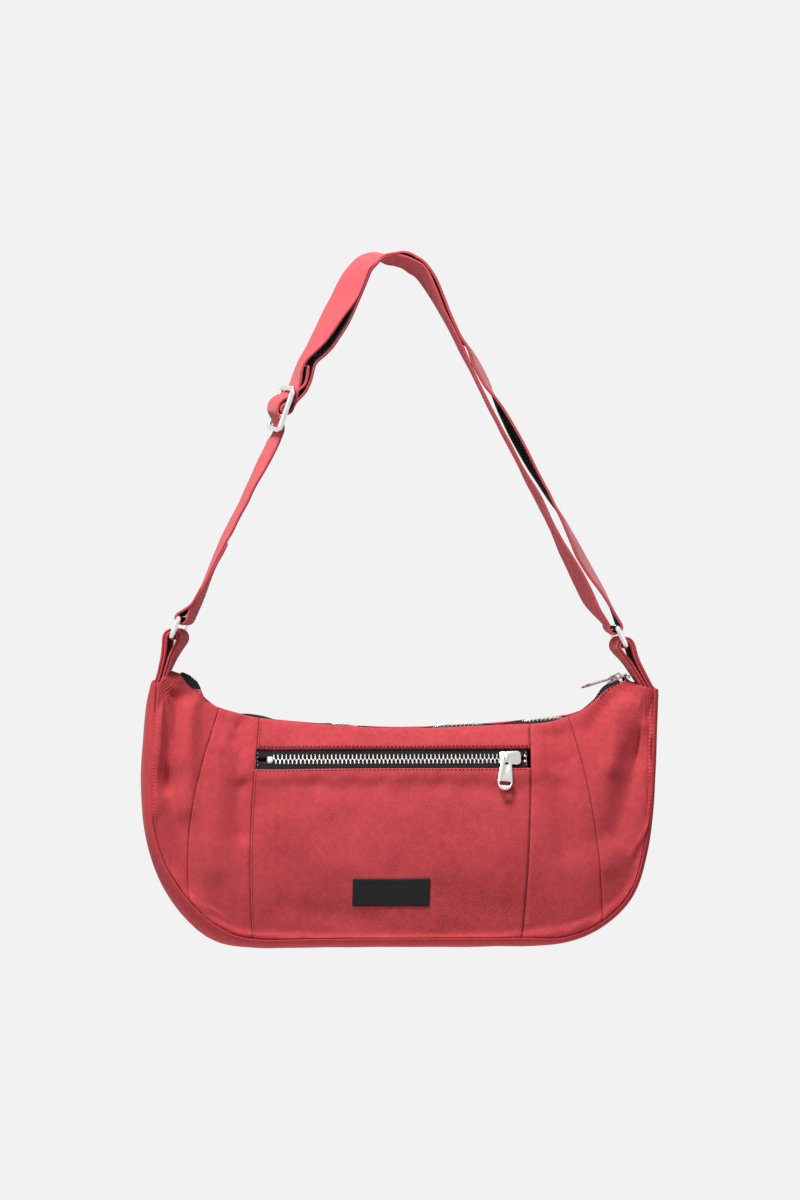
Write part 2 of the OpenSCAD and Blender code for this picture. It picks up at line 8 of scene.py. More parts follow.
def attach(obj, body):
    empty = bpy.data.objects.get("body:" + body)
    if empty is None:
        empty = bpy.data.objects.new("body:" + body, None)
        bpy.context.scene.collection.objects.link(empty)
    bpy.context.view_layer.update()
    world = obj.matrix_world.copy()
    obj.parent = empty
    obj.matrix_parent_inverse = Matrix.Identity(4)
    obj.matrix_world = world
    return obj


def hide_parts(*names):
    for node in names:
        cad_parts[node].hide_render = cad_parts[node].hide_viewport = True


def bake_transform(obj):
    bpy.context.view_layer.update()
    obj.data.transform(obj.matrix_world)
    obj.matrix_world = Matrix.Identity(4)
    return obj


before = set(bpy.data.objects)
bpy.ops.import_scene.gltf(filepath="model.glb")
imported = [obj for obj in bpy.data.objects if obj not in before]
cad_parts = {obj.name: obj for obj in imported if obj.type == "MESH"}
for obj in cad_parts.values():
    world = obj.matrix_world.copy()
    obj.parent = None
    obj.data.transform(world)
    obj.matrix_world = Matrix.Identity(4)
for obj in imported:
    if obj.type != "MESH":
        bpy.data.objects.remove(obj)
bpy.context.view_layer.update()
scene = bpy.context.scene

# Camera: a long lens straight in front of the bag, a little to its left and a little above it,
# level with the middle of the hanging strap and bag.
CAMERA_AIM = Vector((0, 0, -0.2518))
CAMERA_DISTANCE = 2.2
CAMERA_LEFT = math.radians(2)
CAMERA_UP = math.radians(2)
camera = bpy.data.objects.new("camera", bpy.data.cameras.new("camera"))
scene.collection.objects.link(camera)
camera.data.lens = 90.2
camera.data.sensor_width = 36
toward = Vector((
    -math.sin(CAMERA_LEFT) * math.cos(CAMERA_UP), -math.cos(CAMERA_LEFT) * math.cos(CAMERA_UP),
    math.sin(CAMERA_UP)))
camera.location = CAMERA_AIM + toward * CAMERA_DISTANCE
camera.rotation_euler = toward.to_track_quat("Z", "Y").to_euler()
scene.camera = camera
scene.view_settings.view_transform = "Standard"


class Shade:
    """A value in a material's nodes. Python's operators on it add the Math nodes."""

    def __init__(self, tree, socket=None):
        self.tree = tree
        self.socket = socket

    def node(self, kind, sockets=(), out=0, **settings):
        made = self.tree.nodes.new("ShaderNode" + kind)
        stops = settings.pop("stops", None)
        for key, value in settings.items():
            setattr(made, key, value)
        if stops:
            ramp = made.color_ramp.elements
            while len(ramp) < len(stops):
                ramp.new(0.5)
            for element, (place, colour) in zip(ramp, stops):
                element.position = place
                element.color = colour
        for key, value in dict(sockets).items():
            if isinstance(value, Shade):
                self.tree.links.new(value.socket, made.inputs[key])
            else:
                made.inputs[key].default_value = value
        return Shade(self.tree, made.outputs[out])

    def math(self, operation, other=0.0):
        return self.node("Math", {0: self, 1: other}, operation=operation)

    def __add__(self, other):
        return self.math("ADD", other)

    def __sub__(self, other):
        return self.math("SUBTRACT", other)

    def __mul__(self, other):
        return self.math("MULTIPLY", other)

    def __rsub__(self, other):
        return self.node("Math", {0: other, 1: self}, operation="SUBTRACT")

    __radd__ = __add__
    __rmul__ = __mul__

    def wave(self):
        """0 to 1 and back once for each whole number of the value."""
        return (self * (2 * math.pi)).math("COSINE") * 0.5 + 0.5

    def mix(self, low, high):
        """The colour low where the value is 0 and high where it is 1."""
        return self.node("Mix", {0: self, 6: low, 7: high}, out=2, data_type="RGBA")

    def into(self, node, socket):
        self.tree.links.new(self.socket, node.inputs[socket])

    def bump(self, shader, strength, distance):
        """Lets the value raise the surface by up to a distance in metres."""
        bump = self.node("Bump", {"Strength": strength, "Distance": distance, "Height": self})
        bump.into(shader, "Normal")


def new_material(name, **constants):
    """A material with one Principled shader, its constant sockets set, and a Shade to build on."""
    material = bpy.data.materials.new(name)
    material.use_nodes = True
    shader = material.node_tree.nodes["Principled BSDF"]
    for socket, value in constants.items():
        shader.inputs[socket.replace("_", " ")].default_value = value
    return material, shader, Shade(material.node_tree)


def piece_from(bm, name, smooth=True):
    """A finished bmesh as an object of the scene."""
    for face in bm.faces:
        face.smooth = smooth
    piece = bpy.data.objects.new(name, bpy.data.meshes.new(name))
    bm.to_mesh(piece.data)
    bm.free()
    scene.collection.objects.link(piece)
    return piece


# Room: a wide soft lamp above the front left, weaker ones at both sides and behind, an even pale room,
# and a small pale floor under the hanging bag. The camera and the metal see the white paper behind it.
PAPER_WHITE = 0.887
ROOM_LIGHT = 0.10
FLOOR_LEVEL = -0.86
FLOOR_HALF = 0.6
LAMP_AIM = Vector((0, 0, -0.3))
LAMPS = [
    # name, place, size, power in watts
    ("lamp_above", (-0.50, -0.75, 1.75), 0.8, 66),
    ("lamp_left", (-1.6, -1.0, 0.3), 0.9, 7),
    ("lamp_right", (1.5, -1.4, 0.3), 1.0, 3),
    ("lamp_behind", (0.3, 1.8, 0.9), 1.2, 10),
]
world = bpy.data.worlds.new("room")
scene.world = world
world.use_nodes = True
world.node_tree.nodes.clear()
room = Shade(world.node_tree)
camera_ray, glossy_ray, through_ray = (
    room.node("LightPath", out=name) for name in ("Is Camera Ray", "Is Glossy Ray", "Is Transmission Ray"))
seen = (camera_ray + glossy_ray + through_ray).math("MINIMUM", 1.0)
paper = room.node("Background", {"Color": (PAPER_WHITE, PAPER_WHITE, PAPER_WHITE, 1), "Strength": 1.0})
ambient = room.node("Background", {"Color": (1, 1, 1, 1), "Strength": ROOM_LIGHT})
world_out = world.node_tree.nodes.new("ShaderNodeOutputWorld")
room.node("MixShader", {0: seen, 1: ambient, 2: paper}).into(world_out, "Surface")
for name, place, size, power in LAMPS:
    lamp = bpy.data.objects.new(name, bpy.data.lights.new(name, "AREA"))
    scene.collection.objects.link(lamp)
    lamp.data.size = size
    lamp.data.energy = power
    lamp.location = place
    lamp.rotation_euler = (Vector(place) - LAMP_AIM).to_track_quat("Z", "Y").to_euler()

bm = bmesh.new()
bmesh.ops.create_grid(bm, x_segments=4, y_segments=4, size=FLOOR_HALF)
bmesh.ops.translate(bm, vec=(0, 0, FLOOR_LEVEL), verts=bm.verts)
floor = piece_from(bm, "floor", smooth=False)
floor_white, shader, shade = new_material("floor_white", Roughness=0.9)
speck = shade.node("TexNoise", {"Scale": 40.0})
speck.mix((0.86, 0.86, 0.86, 1), (0.9, 0.9, 0.9, 1)).into(shader, "Base Color")
floor.data.materials.append(floor_white)

# Bag cloth: eleven panels of heavy cotton twill, lofted between the gusset seam and the zip. Each is
# a grid over the same stations and heights as in the construction: station 0 is the left corner,
# 18 the right one, height 0 the gusset seam and 1 the zip edge. One more station at each end closes
# the cloth round the foot of the tab.
SEAM = [
    (-0.1775, 0.0212, -0.3105),
    (-0.1785, 0.024, -0.328), (-0.1795, 0.03, -0.352), (-0.18, 0.035, -0.383), (-0.179, 0.039, -0.412),
    (-0.17, 0.042, -0.441), (-0.1525, 0.044, -0.467), (-0.131, 0.045, -0.4855), (-0.107, 0.0455, -0.494),
    (-0.058, 0.046, -0.494), (-0.01, 0.046, -0.494), (0.038, 0.046, -0.494), (0.0865, 0.0455, -0.494),
    (0.117, 0.045, -0.494), (0.1445, 0.044, -0.483), (0.165, 0.042, -0.462), (0.1752, 0.0395, -0.4305),
    (0.1797, 0.036, -0.3985), (0.1818, 0.031, -0.366), (0.1834, 0.025, -0.336), (0.1845, 0.0215, -0.315)]
TOP = [
    (-0.1672, -0.3032), (-0.1622, -0.3048), (-0.1575, -0.305), (-0.151, -0.3125), (-0.1445, -0.32),
    (-0.138, -0.3265), (-0.1315, -0.331), (-0.1185, -0.3345), (-0.1025, -0.3375), (-0.0535, -0.342),
    (-0.0045, -0.3445), (0.045, -0.3438), (0.0945, -0.3405), (0.1095, -0.3388), (0.1225, -0.3355),
    (0.133, -0.331), (0.142, -0.3245), (0.1495, -0.3175), (0.1576, -0.3115), (0.1636, -0.311),
    (0.1705, -0.3112)]
# how far the cloth between them bows to the right (minus: left)
BOW = [0, 0, -0.002, -0.005, -0.0075, -0.009, -0.0085, -0.006, -0.004, -0.002, 0, 0.001, 0.002, 0.004,
       0.0055, 0.0055, 0.0045, 0.003, 0.0015, 0, 0]
# how much higher (minus: lower) than TOP the sewn edge stands, as (station, rise): at the front left
# it dips below the half moon of tape and then stands up in a small ear
FRONT_LIP = [
    (-1, 0.0002), (0, 0.0006), (0.35, 0.0004), (1, -0.0040), (1.45, -0.0046), (2, -0.0028), (2.6, 0.0014),
    (3.02, 0.0046), (3.22, 0.0026), (3.45, -0.0012), (4, 0.0012), (5, 0.0024), (6, 0.0019), (7, 0.0010),
    (8, 0.0006), (9, 0.0003), (10, 0.0006), (10.5, 0.0003), (11, -0.0009), (12, -0.0010), (13, -0.0002),
    (14, -0.0004), (15, 0.0006), (16, 0.0008), (17, -0.0016), (18, 0.0002), (19, 0.0002)]
BACK_LIP = [
    (-1, 0.0002), (0, 0.0002), (1, -0.0020), (2, -0.0025), (3, 0.0), (4, 0.0004), (5, 0.0011), (6, 0.0007),
    (7, 0.0002), (8, 0.0001), (9, 0.0002), (10, 0.0007), (11, 0.0017), (12, 0.0014), (13, 0.0),
    (14, -0.0012), (15, -0.0002), (16, -0.0006), (17, -0.0016), (18, 0.0002), (19, 0.0002)]
SEAM = [Vector(p) for p in SEAM]
TOP = [Vector(p) for p in TOP]
FIRST, LAST = 0, 18
CORNER_FIRST, CORNER_LAST = -0.92, 18.92
# stations of the four seams between the panels
LEFT_END, CENTRE_LEFT, CENTRE_RIGHT, RIGHT_END = 5, 7, 11, 13
# height of the pocket opening: its lower and its upper edge, and the upper one's level
WINDOW_V = 0.8
WAIST_V = 0.89
WAIST_Z = -0.3585
# half the gap of the open zip, how far the middle bulges, thickness of the cloth, grid cell
EDGE_Y = 0.0075
BELLY = 0.004
CLOTH = 0.0012
CELL = 0.0026
# depth of the rows nearest an edge: the seam allowance turned in, the edge, and the row inside it
TURNED_IN = {0: 0.0034, 1: 0.0009, 2: 0.00015}


def along(line, u):
    """A smooth line through a list of points or numbers."""
    n = len(line) - 1
    i = max(0, min(int(math.floor(u)), n - 1))
    f = u - i
    p0, p1, p2, p3 = line[max(i - 1, 0)], line[i], line[i + 1], line[min(i + 2, n)]
    return 0.5 * (2 * p1 + (p2 - p0) * f + (2 * p0 - 5 * p1 + 4 * p2 - p3) * (f * f)
                  + (3 * p1 - p0 - 3 * p2 + p3) * (f * f * f))


def steps(a, b, n):
    return [a + (b - a) * k / n for k in range(n + 1)]


def lengths_along(points):
    """How far along a line of points each of them lies."""
    lengths = [0]
    for a, b in zip(points, points[1:]):
        lengths.append(lengths[-1] + (b - a).length)
    return lengths


def at_station(line, u):
    """A table's value at a station; its first entry is station -1."""
    return along(line, u + 1)


def between(pairs, x):
    """The value at x of a list of (x, value), straight from one to the next."""
    for (a, low), (b, high) in zip(pairs, pairs[1:]):
        if x <= b:
            break
    return low + (high - low) * max(0, min(1, (x - a) / (b - a)))


WAIST = []
for k, (foot, edge) in enumerate(zip(SEAM, TOP)):
    level = Vector((foot.x, foot.z)).lerp(edge, WAIST_V)
    WAIST.append(Vector((level.x, WAIST_Z)) if CENTRE_LEFT <= k - 1 <= CENTRE_RIGHT else level)


def wall(u, v):
    """A point of the outer face of the front, which closes in slowly from the gusset to the zip."""
    s, w, t = at_station(SEAM, u), at_station(WAIST, u), at_station(TOP, u)
    if v < WAIST_V:
        p = Vector((s.x, s.z)).lerp(w, v / WAIST_V)
    else:
        p = w.lerp(t, (v - WAIST_V) / (1 - WAIST_V))
    half = EDGE_Y + (s.y - EDGE_Y) * max(0, 1 - v ** 2.2) ** 0.8 + BELLY * math.sin(math.pi * v)
    return Vector((p.x + at_station(BOW, u) * 4 * v * (1 - v), -half, p.y))


def outward(u, v):
    """The direction out of the front there."""
    a = wall(min(u + 0.05, LAST + 1), v) - wall(max(u - 0.05, FIRST - 1), v)
    b = wall(u, min(v + 0.02, 1)) - wall(u, max(v - 0.02, 0))
    return a.cross(b).normalized()


# Folds that hang in the cloth: two ends (x, z), half width, and depth (minus is a valley)
FRONT_FOLDS = [
    ((-0.1612, -0.318), (-0.1690, -0.382), 0.0058, -0.0066),
    ((-0.1650, -0.378), (-0.1550, -0.455), 0.0090, -0.0054),
    ((-0.1530, -0.328), (-0.1545, -0.400), 0.0070, 0.0044),
    ((-0.1735, -0.333), (-0.1765, -0.400), 0.0050, 0.0022),
    ((-0.1195, -0.3385), (-0.1175, -0.3405), 0.0035, -0.0030),
    ((-0.1125, -0.338), (-0.1215, -0.351), 0.0046, -0.0038),
    ((-0.1205, -0.347), (-0.129, -0.356), 0.0048, 0.0018),
    ((-0.117, -0.384), (-0.115, -0.416), 0.0085, -0.0044),
    ((-0.135, -0.370), (-0.134, -0.440), 0.0110, 0.0026),
    ((0.1515, -0.3245), (0.138, -0.3435), 0.0052, -0.0028),
    ((0.158, -0.328), (0.152, -0.372), 0.0075, 0.0044),
    ((0.1785, -0.326), (0.171, -0.362), 0.0080, -0.0034),
    ((0.172, -0.352), (0.153, -0.418), 0.0105, -0.0066),
    ((0.179, -0.340), (0.1775, -0.415), 0.0055, 0.0028),
    ((0.150, -0.372), (0.150, -0.440), 0.0090, 0.0020),
    ((0.112, -0.350), (0.119, -0.430), 0.0090, -0.0024),
    ((-0.060, -0.379), (-0.030, -0.384), 0.0080, -0.0010),
    ((0.030, -0.380), (0.075, -0.386), 0.0090, -0.0012),
    ((-0.085, -0.470), (-0.020, -0.479), 0.0090, -0.0016),
    ((0.020, -0.440), (0.070, -0.455), 0.0130, 0.0018),
    ((-0.090, -0.410), (-0.050, -0.440), 0.0140, 0.0018),
]
BACK_FOLDS = [
    ((-0.158, -0.326), (-0.156, -0.390), 0.0060, -0.0044),
    ((-0.146, -0.350), (-0.149, -0.420), 0.0080, 0.0028),
    ((-0.104, -0.350), (-0.113, -0.370), 0.0050, -0.0036),
    ((0.148, -0.330), (0.137, -0.350), 0.0050, -0.0040),
    ((0.168, -0.345), (0.165, -0.410), 0.0070, -0.0030),
    ((-0.070, -0.352), (-0.010, -0.362), 0.0090, -0.0022),
    ((0.030, -0.355), (0.075, -0.350), 0.0080, -0.0018),
    ((-0.060, -0.420), (0.010, -0.440), 0.0160, 0.0024),
    ((0.030, -0.470), (0.080, -0.462), 0.0100, -0.0018),
]
# broad and fine unevenness: height, waves for each metre across and up, and which noise
UNEVENNESS = [(0.0019, 26, 21, 900), (0.0006, 75, 62, 700)]


def fold_height(folds, x, z):
    """How far the cloth stands out (or in) at a place, from its folds and its fine unevenness."""
    height = 0
    p = Vector((x, z))
    for a, b, width, depth in folds:
        a, b = Vector(a), Vector(b)
        f = (p - a).dot(b - a) / (b - a).length_squared
        end = max(0, -f, f - 1) * (b - a).length
        f = max(0, min(1, f))
        off = (p - a.lerp(b, f)).length
        height += depth * math.exp(-(off / width) ** 2 - (end / (1.6 * width)) ** 2)
    for size, along_x, along_z, draw in UNEVENNESS:
        height += size * noise.noise(Vector((x * along_x, z * along_z, folds[0][2] * draw)))
    return height


def settle(side, folds):
    """Lets one side of the bag hang as cloth and gives the moves of its points at stations and heights."""
    across, up, frames, cap = 110, 44, 18, 0.0035
    bm = bmesh.new()
    bmesh.ops.create_grid(bm, x_segments=across, y_segments=up, size=0.5)
    bm.verts.ensure_lookup_table()
    stations = steps(CORNER_FIRST, CORNER_LAST, across)
    spots = {}
    for vert in bm.verts:
        i, j = round((vert.co.x + 0.5) * across), round((vert.co.y + 0.5) * up)
        u, v = stations[i], j / up
        p = wall(u, v) + outward(u, v) * fold_height(folds, *wall(u, v).xz)
        vert.co = (p.x, p.y * side, p.z)
        spots[i, j] = vert.index
    if side < 0:
        bmesh.ops.reverse_faces(bm, faces=bm.faces)
    cloth = piece_from(bm, "settling")
    held = cloth.vertex_groups.new(name="held")
    for (i, j), index in spots.items():
        by_pocket = CENTRE_LEFT - 0.1 <= stations[i] <= CENTRE_RIGHT + 0.1 and WINDOW_V - 0.03 <= j / up
        window = by_pocket and side > 0
        if j in (0, up) or i in (0, across) or window:
            held.add([index], 1.0, "REPLACE")
    start = [vert.co.copy() for vert in cloth.data.vertices]
    sim = cloth.modifiers.new("cloth", "CLOTH")
    sim.settings.quality = 5
    sim.settings.mass = 0.35
    sim.settings.tension_stiffness = 12
    sim.settings.compression_stiffness = 12
    sim.settings.shear_stiffness = 6
    sim.settings.bending_stiffness = 1.2
    sim.settings.vertex_group_mass = "held"
    sim.settings.pin_stiffness = 1.0
    sim.settings.shrink_min = -0.012
    sim.settings.use_pressure = True
    sim.settings.uniform_pressure_force = 0.25
    sim.settings.use_pressure_volume = False
    scene.frame_start, scene.frame_end = 1, frames
    sim.point_cache.frame_start, sim.point_cache.frame_end = 1, frames
    for number in range(1, frames + 1):
        scene.frame_set(number)
    hung = cloth.evaluated_get(bpy.context.evaluated_depsgraph_get()).to_mesh()
    moves = {}
    for key, index in spots.items():
        move = hung.vertices[index].co - start[index]
        if move.length > cap:
            move *= cap / move.length
        moves[key] = Vector((move.x, move.y * side, move.z))
    bpy.data.objects.remove(cloth)
    scene.frame_set(1)

    def moved(u, v):
        a, b = (u - CORNER_FIRST) / (CORNER_LAST - CORNER_FIRST) * across, v * up
        i, j = min(int(a), across - 1), min(int(b), up - 1)
        low = moves[i, j].lerp(moves[i + 1, j], a - i)
        return low.lerp(moves[i, j + 1].lerp(moves[i + 1, j + 1], a - i), b - j)

    return moved


front_moved = settle(1, FRONT_FOLDS)
back_moved = settle(-1, BACK_FOLDS)


def hung_point(u, v, folds, lip, moved, window):
    """The cloth as it hangs: the wall with its folds, its sag and the stand of its top edge."""
    p = wall(u, v)
    # folds and sag fade out at the zip, at the gusset seam and round the pocket opening
    fade = min(1, (1 - v) / 0.05) * min(1, v / 0.03)
    if window:
        across = max(0, CENTRE_LEFT - u, u - CENTRE_RIGHT) / 0.5
        fade *= min(1, max(abs(v - (WINDOW_V + WAIST_V) / 2) / 0.12, across))
    p = p + (outward(u, v) * fold_height(folds, p.x, p.z) + moved(u, v)) * fade
    return p + Vector((0, 0, between(lip, u) * max(0, (v - 0.9) / 0.1) ** 2))


def front_point(u, v):
    return hung_point(u, v, FRONT_FOLDS, FRONT_LIP, front_moved, True)


def back_point(u, v):
    """On the front's side of the middle: the back is its mirror image."""
    return hung_point(u, v, BACK_FOLDS, BACK_LIP, back_moved, False)


def spread(n, length, edge, turned=0):
    """Shares 0 to 1 over n cells, with the first and last cell only as long as a turned edge, and with
    as many extra rows at 0 and 1 as the edge has rows turned in behind it."""
    inner = [edge / length + (1 - 2 * edge / length) * k / (n - 2) for k in range(n - 1)]
    return [0] * (1 + turned) + inner + [1] * (1 + turned)


def grid_mesh(name, nx, ny, place, thickness, side=1, offset=-1):
    """A thick cloth piece on nx by ny cells; place(i, j) gives a corner and its place in the weave."""
    bm = bmesh.new()
    bmesh.ops.create_grid(bm, x_segments=nx, y_segments=ny, size=0.5)
    weave = bm.loops.layers.uv.new("weave")
    threads = {}
    for vert in bm.verts:
        p, thread = place(round((vert.co.x + 0.5) * nx), round((vert.co.y + 0.5) * ny))
        vert.co = (p.x, p.y * side, p.z)
        threads[vert] = thread
    for face in bm.faces:
        for loop in face.loops:
            loop[weave].uv = threads[loop.vert]
    if side < 0:
        bmesh.ops.reverse_faces(bm, faces=bm.faces)
    piece = piece_from(bm, name)
    solid = piece.modifiers.new("thickness", "SOLIDIFY")
    solid.thickness = thickness
    solid.offset = offset
    smooth = piece.modifiers.new("smooth", "SUBSURF")
    smooth.levels = smooth.render_levels = 1
    return piece


# Twill: steep diagonal ribs, each a row of short floats, in red cotton; the ribs' ridges are painted paler
# and their valleys darker, painted light and shade of the weave
TWILL_SLOPE = math.radians(55)
TWILL_PITCH = 0.00145
TWILL_FLOAT = 0.0010


def twill_cloth(name, valley, ridge, sheen, strength=1.0):
    """Twill between two colours; a low strength stands for a cloth pressed flat."""
    material, shader, shade = new_material(name, Roughness=0.88, Sheen_Weight=sheen, Sheen_Roughness=0.45,
                                           Specular_IOR_Level=0.25)
    place = shade.node("TexCoord", out="Object")
    weave = shade.node("UVMap", uv_map="weave")
    x = shade.node("SeparateXYZ", {0: weave}, out=0)
    y = shade.node("SeparateXYZ", {0: weave}, out=1)
    drift = shade.node("TexNoise", {"Vector": place, "Scale": 55.0, "Detail": 2.0}) - 0.5
    across = x * math.sin(TWILL_SLOPE) - y * math.cos(TWILL_SLOPE) + drift * 0.0009
    run = x * math.cos(TWILL_SLOPE) + y * math.sin(TWILL_SLOPE)
    line = across * (1 / TWILL_PITCH)
    rib = line.wave()
    floats = (run * (1 / TWILL_FLOAT) + line.math("FLOOR") * 0.37).wave()
    fibre = shade.node("TexNoise", {"Vector": weave, "Scale": 3800.0, "Detail": 3.0, "Roughness": 0.7})
    patch = shade.node("TexNoise", {"Vector": place, "Scale": 17.0, "Detail": 4.0})
    slub = shade.node("TexNoise", {"Vector": place, "Scale": 260.0, "Detail": 3.0})
    # the rib and float terms paint shade into the weave's valleys; the fibre, slub and patch noise is the
    # yarn's own uneven tone
    lift = rib * 0.56 * strength + floats * 0.12 * strength + (fibre - 0.5) * 0.6 + (slub - 0.5) * 0.6 \
        + (patch - 0.5) * 0.6 + (0.5 - 0.34 * strength)
    lift.mix(valley, ridge).into(shader, "Base Color")
    (0.94 - rib * 0.1).into(shader, "Roughness")
    (rib * 0.6 * strength + floats * 0.22 * strength + fibre * 0.35).bump(shader, 0.8, 0.00035)
    return material


panel_twill = twill_cloth("panel_twill", (0.40, 0.030, 0.040, 1), (0.80, 0.100, 0.115, 1), 0.10)

PANELS = [
    # name, first and last station, first and last height, side
    ("front_left_end", CORNER_FIRST, LEFT_END, 0, 1, 1),
    ("front_left_side", LEFT_END, CENTRE_LEFT, 0, 1, 1),
    ("front_centre_top", CENTRE_LEFT, CENTRE_RIGHT, WAIST_V, 1, 1),
    ("front_centre_bottom", CENTRE_LEFT, CENTRE_RIGHT, 0, WINDOW_V, 1),
    ("front_right_side", CENTRE_RIGHT, RIGHT_END, 0, 1, 1),
    ("front_right_end", RIGHT_END, CORNER_LAST, 0, 1, 1),
    ("back_left_end", CORNER_FIRST, LEFT_END, 0, 1, -1),
    ("back_left_side", LEFT_END, CENTRE_LEFT, 0, 1, -1),
    ("back_centre", CENTRE_LEFT, CENTRE_RIGHT, 0, 1, -1),
    ("back_right_side", CENTRE_RIGHT, RIGHT_END, 0, 1, -1),
    ("back_right_end", RIGHT_END, CORNER_LAST, 0, 1, -1),
]
for name, u0, u1, v0, v1, side in PANELS:
    point = front_point if side > 0 else back_point
    width = lengths_along([wall(u, 0.3) for u in steps(u0, u1, 8)])[-1]
    height = lengths_along([wall((u0 + u1) / 2, v) for v in steps(v0, v1, 8)])[-1]
    nx, ny = max(6, round(width / CELL)), max(6, round(height / CELL))
    shares_u, shares_v = spread(nx, width, 0.0009, 1), spread(ny, height, 0.0009, 1)
    nx, ny = nx + 2, ny + 2
    middle = ny // 2
    columns = []
    for share in shares_u:
        line = [wall(u0 + (u1 - u0) * share, v0 + (v1 - v0) * f) for f in shares_v]
        rise = lengths_along([p.yz for p in line])
        columns.append([line[middle].z + r - rise[middle] for r in rise])

    def place(i, j):
        u, v = u0 + (u1 - u0) * shares_u[i], v0 + (v1 - v0) * shares_v[j]
        p = point(u, v)
        depth = min(i, nx - i, j, ny - j)
        return p - outward(u, v) * TURNED_IN.get(depth, 0), (p.x * side, columns[i][j])

    panel = grid_mesh(name + "_cloth", nx, ny, place, CLOTH, side)
    panel.data.materials.append(panel_twill)
    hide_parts(name)
    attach(panel, "bag")

# Gusset: one strip of the same twill from tab to tab under the bag, sewn to both faces along its
# edges. It sags most at the lower left, where it puckers beside the seam.
# how much of GUSSET_DROP it sags at each station
DROP = [0.1, 0.55, 0.8, 0.95, 0.8, 1.2, 1.65, 1.7, 1, 1, 1, 1, 1, 0.46, 0.36, 0.25, 0.2, 0.1, 0.08, 0.1, 0]
GUSSET_DROP = 0.0061
GUSSET_PROUD = 0.0019
GUSSET_ACROSS = [-1, -0.98, -0.93, -0.86, -0.76, -0.64, -0.5, -0.34, -0.17, 0,
                 0.17, 0.34, 0.5, 0.64, 0.76, 0.86, 0.93, 0.98, 1]
GUSSET_CELLS = 220
gusset_stations = steps(CORNER_FIRST, CORNER_LAST, GUSSET_CELLS)
gusset_run = lengths_along([at_station(SEAM, u) for u in gusset_stations])


def gusset_place(i, j):
    u, share = gusset_stations[i], GUSSET_ACROSS[j]
    s = at_station(SEAM, u)
    a, b = at_station(SEAM, min(u + 0.1, LAST + 1)), at_station(SEAM, max(u - 0.1, FIRST - 1))
    run = Vector((a.x - b.x, a.z - b.z)).normalized()
    proud = GUSSET_PROUD * min(1, (1 - abs(share)) / 0.05) ** 0.5 - 0.0006 * (abs(share) == 1)
    sag = at_station(DROP, u) * GUSSET_DROP * (1 - abs(share) ** 5)
    pucker = 0.0011 * math.exp(-((u - 5.6) / 0.5) ** 2) * math.sin(u * 26) * (abs(share) ** 3)
    uneven = 0.0009 * noise.noise(Vector((gusset_run[i] * 34, share * 1.4, 3))) * (1 - share ** 4)
    # the flat bottom is evener than the sides
    d = proud + sag + pucker + uneven * (1 if abs(s.z) < 0.47 or abs(share) > 0.6 else 0.4)
    return Vector((s.x + run.y * d, s.y * share, s.z - run.x * d)), (gusset_run[i], s.y * share)


gusset_twill = twill_cloth(
    "gusset_twill", (0.44, 0.036, 0.047, 1), (0.72, 0.082, 0.096, 1), 0.12, strength=0.4)
gusset = grid_mesh("gusset_cloth", GUSSET_CELLS, len(GUSSET_ACROSS) - 1, gusset_place, CLOTH)
gusset.data.materials.append(gusset_twill)
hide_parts("gusset")
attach(gusset, "bag")

# Bindings: woven tapes over the raw seam allowances inside the bag, front and back. Only a look
# into the open zip would show them, so the constructed strips stay and get their weave.
RIB_PITCH = 0.0009
binding_tape, shader, shade = new_material(
    "binding_tape", Roughness=0.8, Sheen_Weight=0.2, Specular_IOR_Level=0.3)
place = shade.node("TexCoord", out="Object")
rib = (shade.node("SeparateXYZ", {0: place}, out=0) * (1 / RIB_PITCH)).wave()
fibre = shade.node("TexNoise", {"Vector": place, "Scale": 1400.0, "Detail": 3.0})
worn = shade.node("TexNoise", {"Vector": place, "Scale": 60.0, "Detail": 3.0})
tone = rib * 0.45 + (fibre - 0.5) * 0.5 + (worn - 0.5) * 0.6 + 0.25
tone.mix((0.006, 0.006, 0.007, 1), (0.03, 0.03, 0.033, 1)).into(shader, "Base Color")
(rib * 0.7 + fibre * 0.4).bump(shader, 0.5, 0.00015)
for name in ("binding_front", "binding_back"):
    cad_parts[name].data.materials.clear()
    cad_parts[name].data.materials.append(binding_tape)

# Seam threads: polyester thread in rows of lockstitch beside the two centre seams, round the pocket
# opening and under the zip edge. Each stitch is a short bead half sunk in the cloth.
THREAD = 0.00036
SEAM_STITCH = 0.0019
EDGE_STITCH = 0.0028
# metres from one station to the next and from the gusset seam to the zip
STATION = 0.0484
FRONT_HEIGHT = 0.17


def stitch_row(bm, points, pitch, share=0.74, radius=THREAD):
    """Beads along a line of (place, outward direction)."""
    lengths = lengths_along([place for place, out in points])
    k = 0
    for n in range(int(lengths[-1] / pitch)):
        s = (n + 0.5) * pitch
        while k < len(points) - 2 and lengths[k + 1] < s:
            k += 1
        f = (s - lengths[k]) / (lengths[k + 1] - lengths[k])
        run = (points[k + 1][0] - points[k][0]).normalized()
        out = points[k][1].normalized()
        side = out.cross(run).normalized()
        place = points[k][0].lerp(points[k + 1][0], f) + out * radius * 0.35
        turn = Matrix((run, side, out)).transposed().to_4x4()
        size = Matrix.Diagonal((pitch * share / 2, radius, radius, 1))
        bmesh.ops.create_icosphere(
            bm, subdivisions=1, radius=1, matrix=Matrix.Translation(place) @ turn @ size)


def thread_material(name, colour, light):
    material, shader, shade = new_material(name, Roughness=0.6, Sheen_Weight=0.2)
    place = shade.node("TexCoord", out="Object")
    twist = shade.node("TexNoise", {"Vector": place, "Scale": 900.0})
    twist.mix(colour, light).into(shader, "Base Color")
    twist.bump(shader, 0.4, 0.0001)
    return material
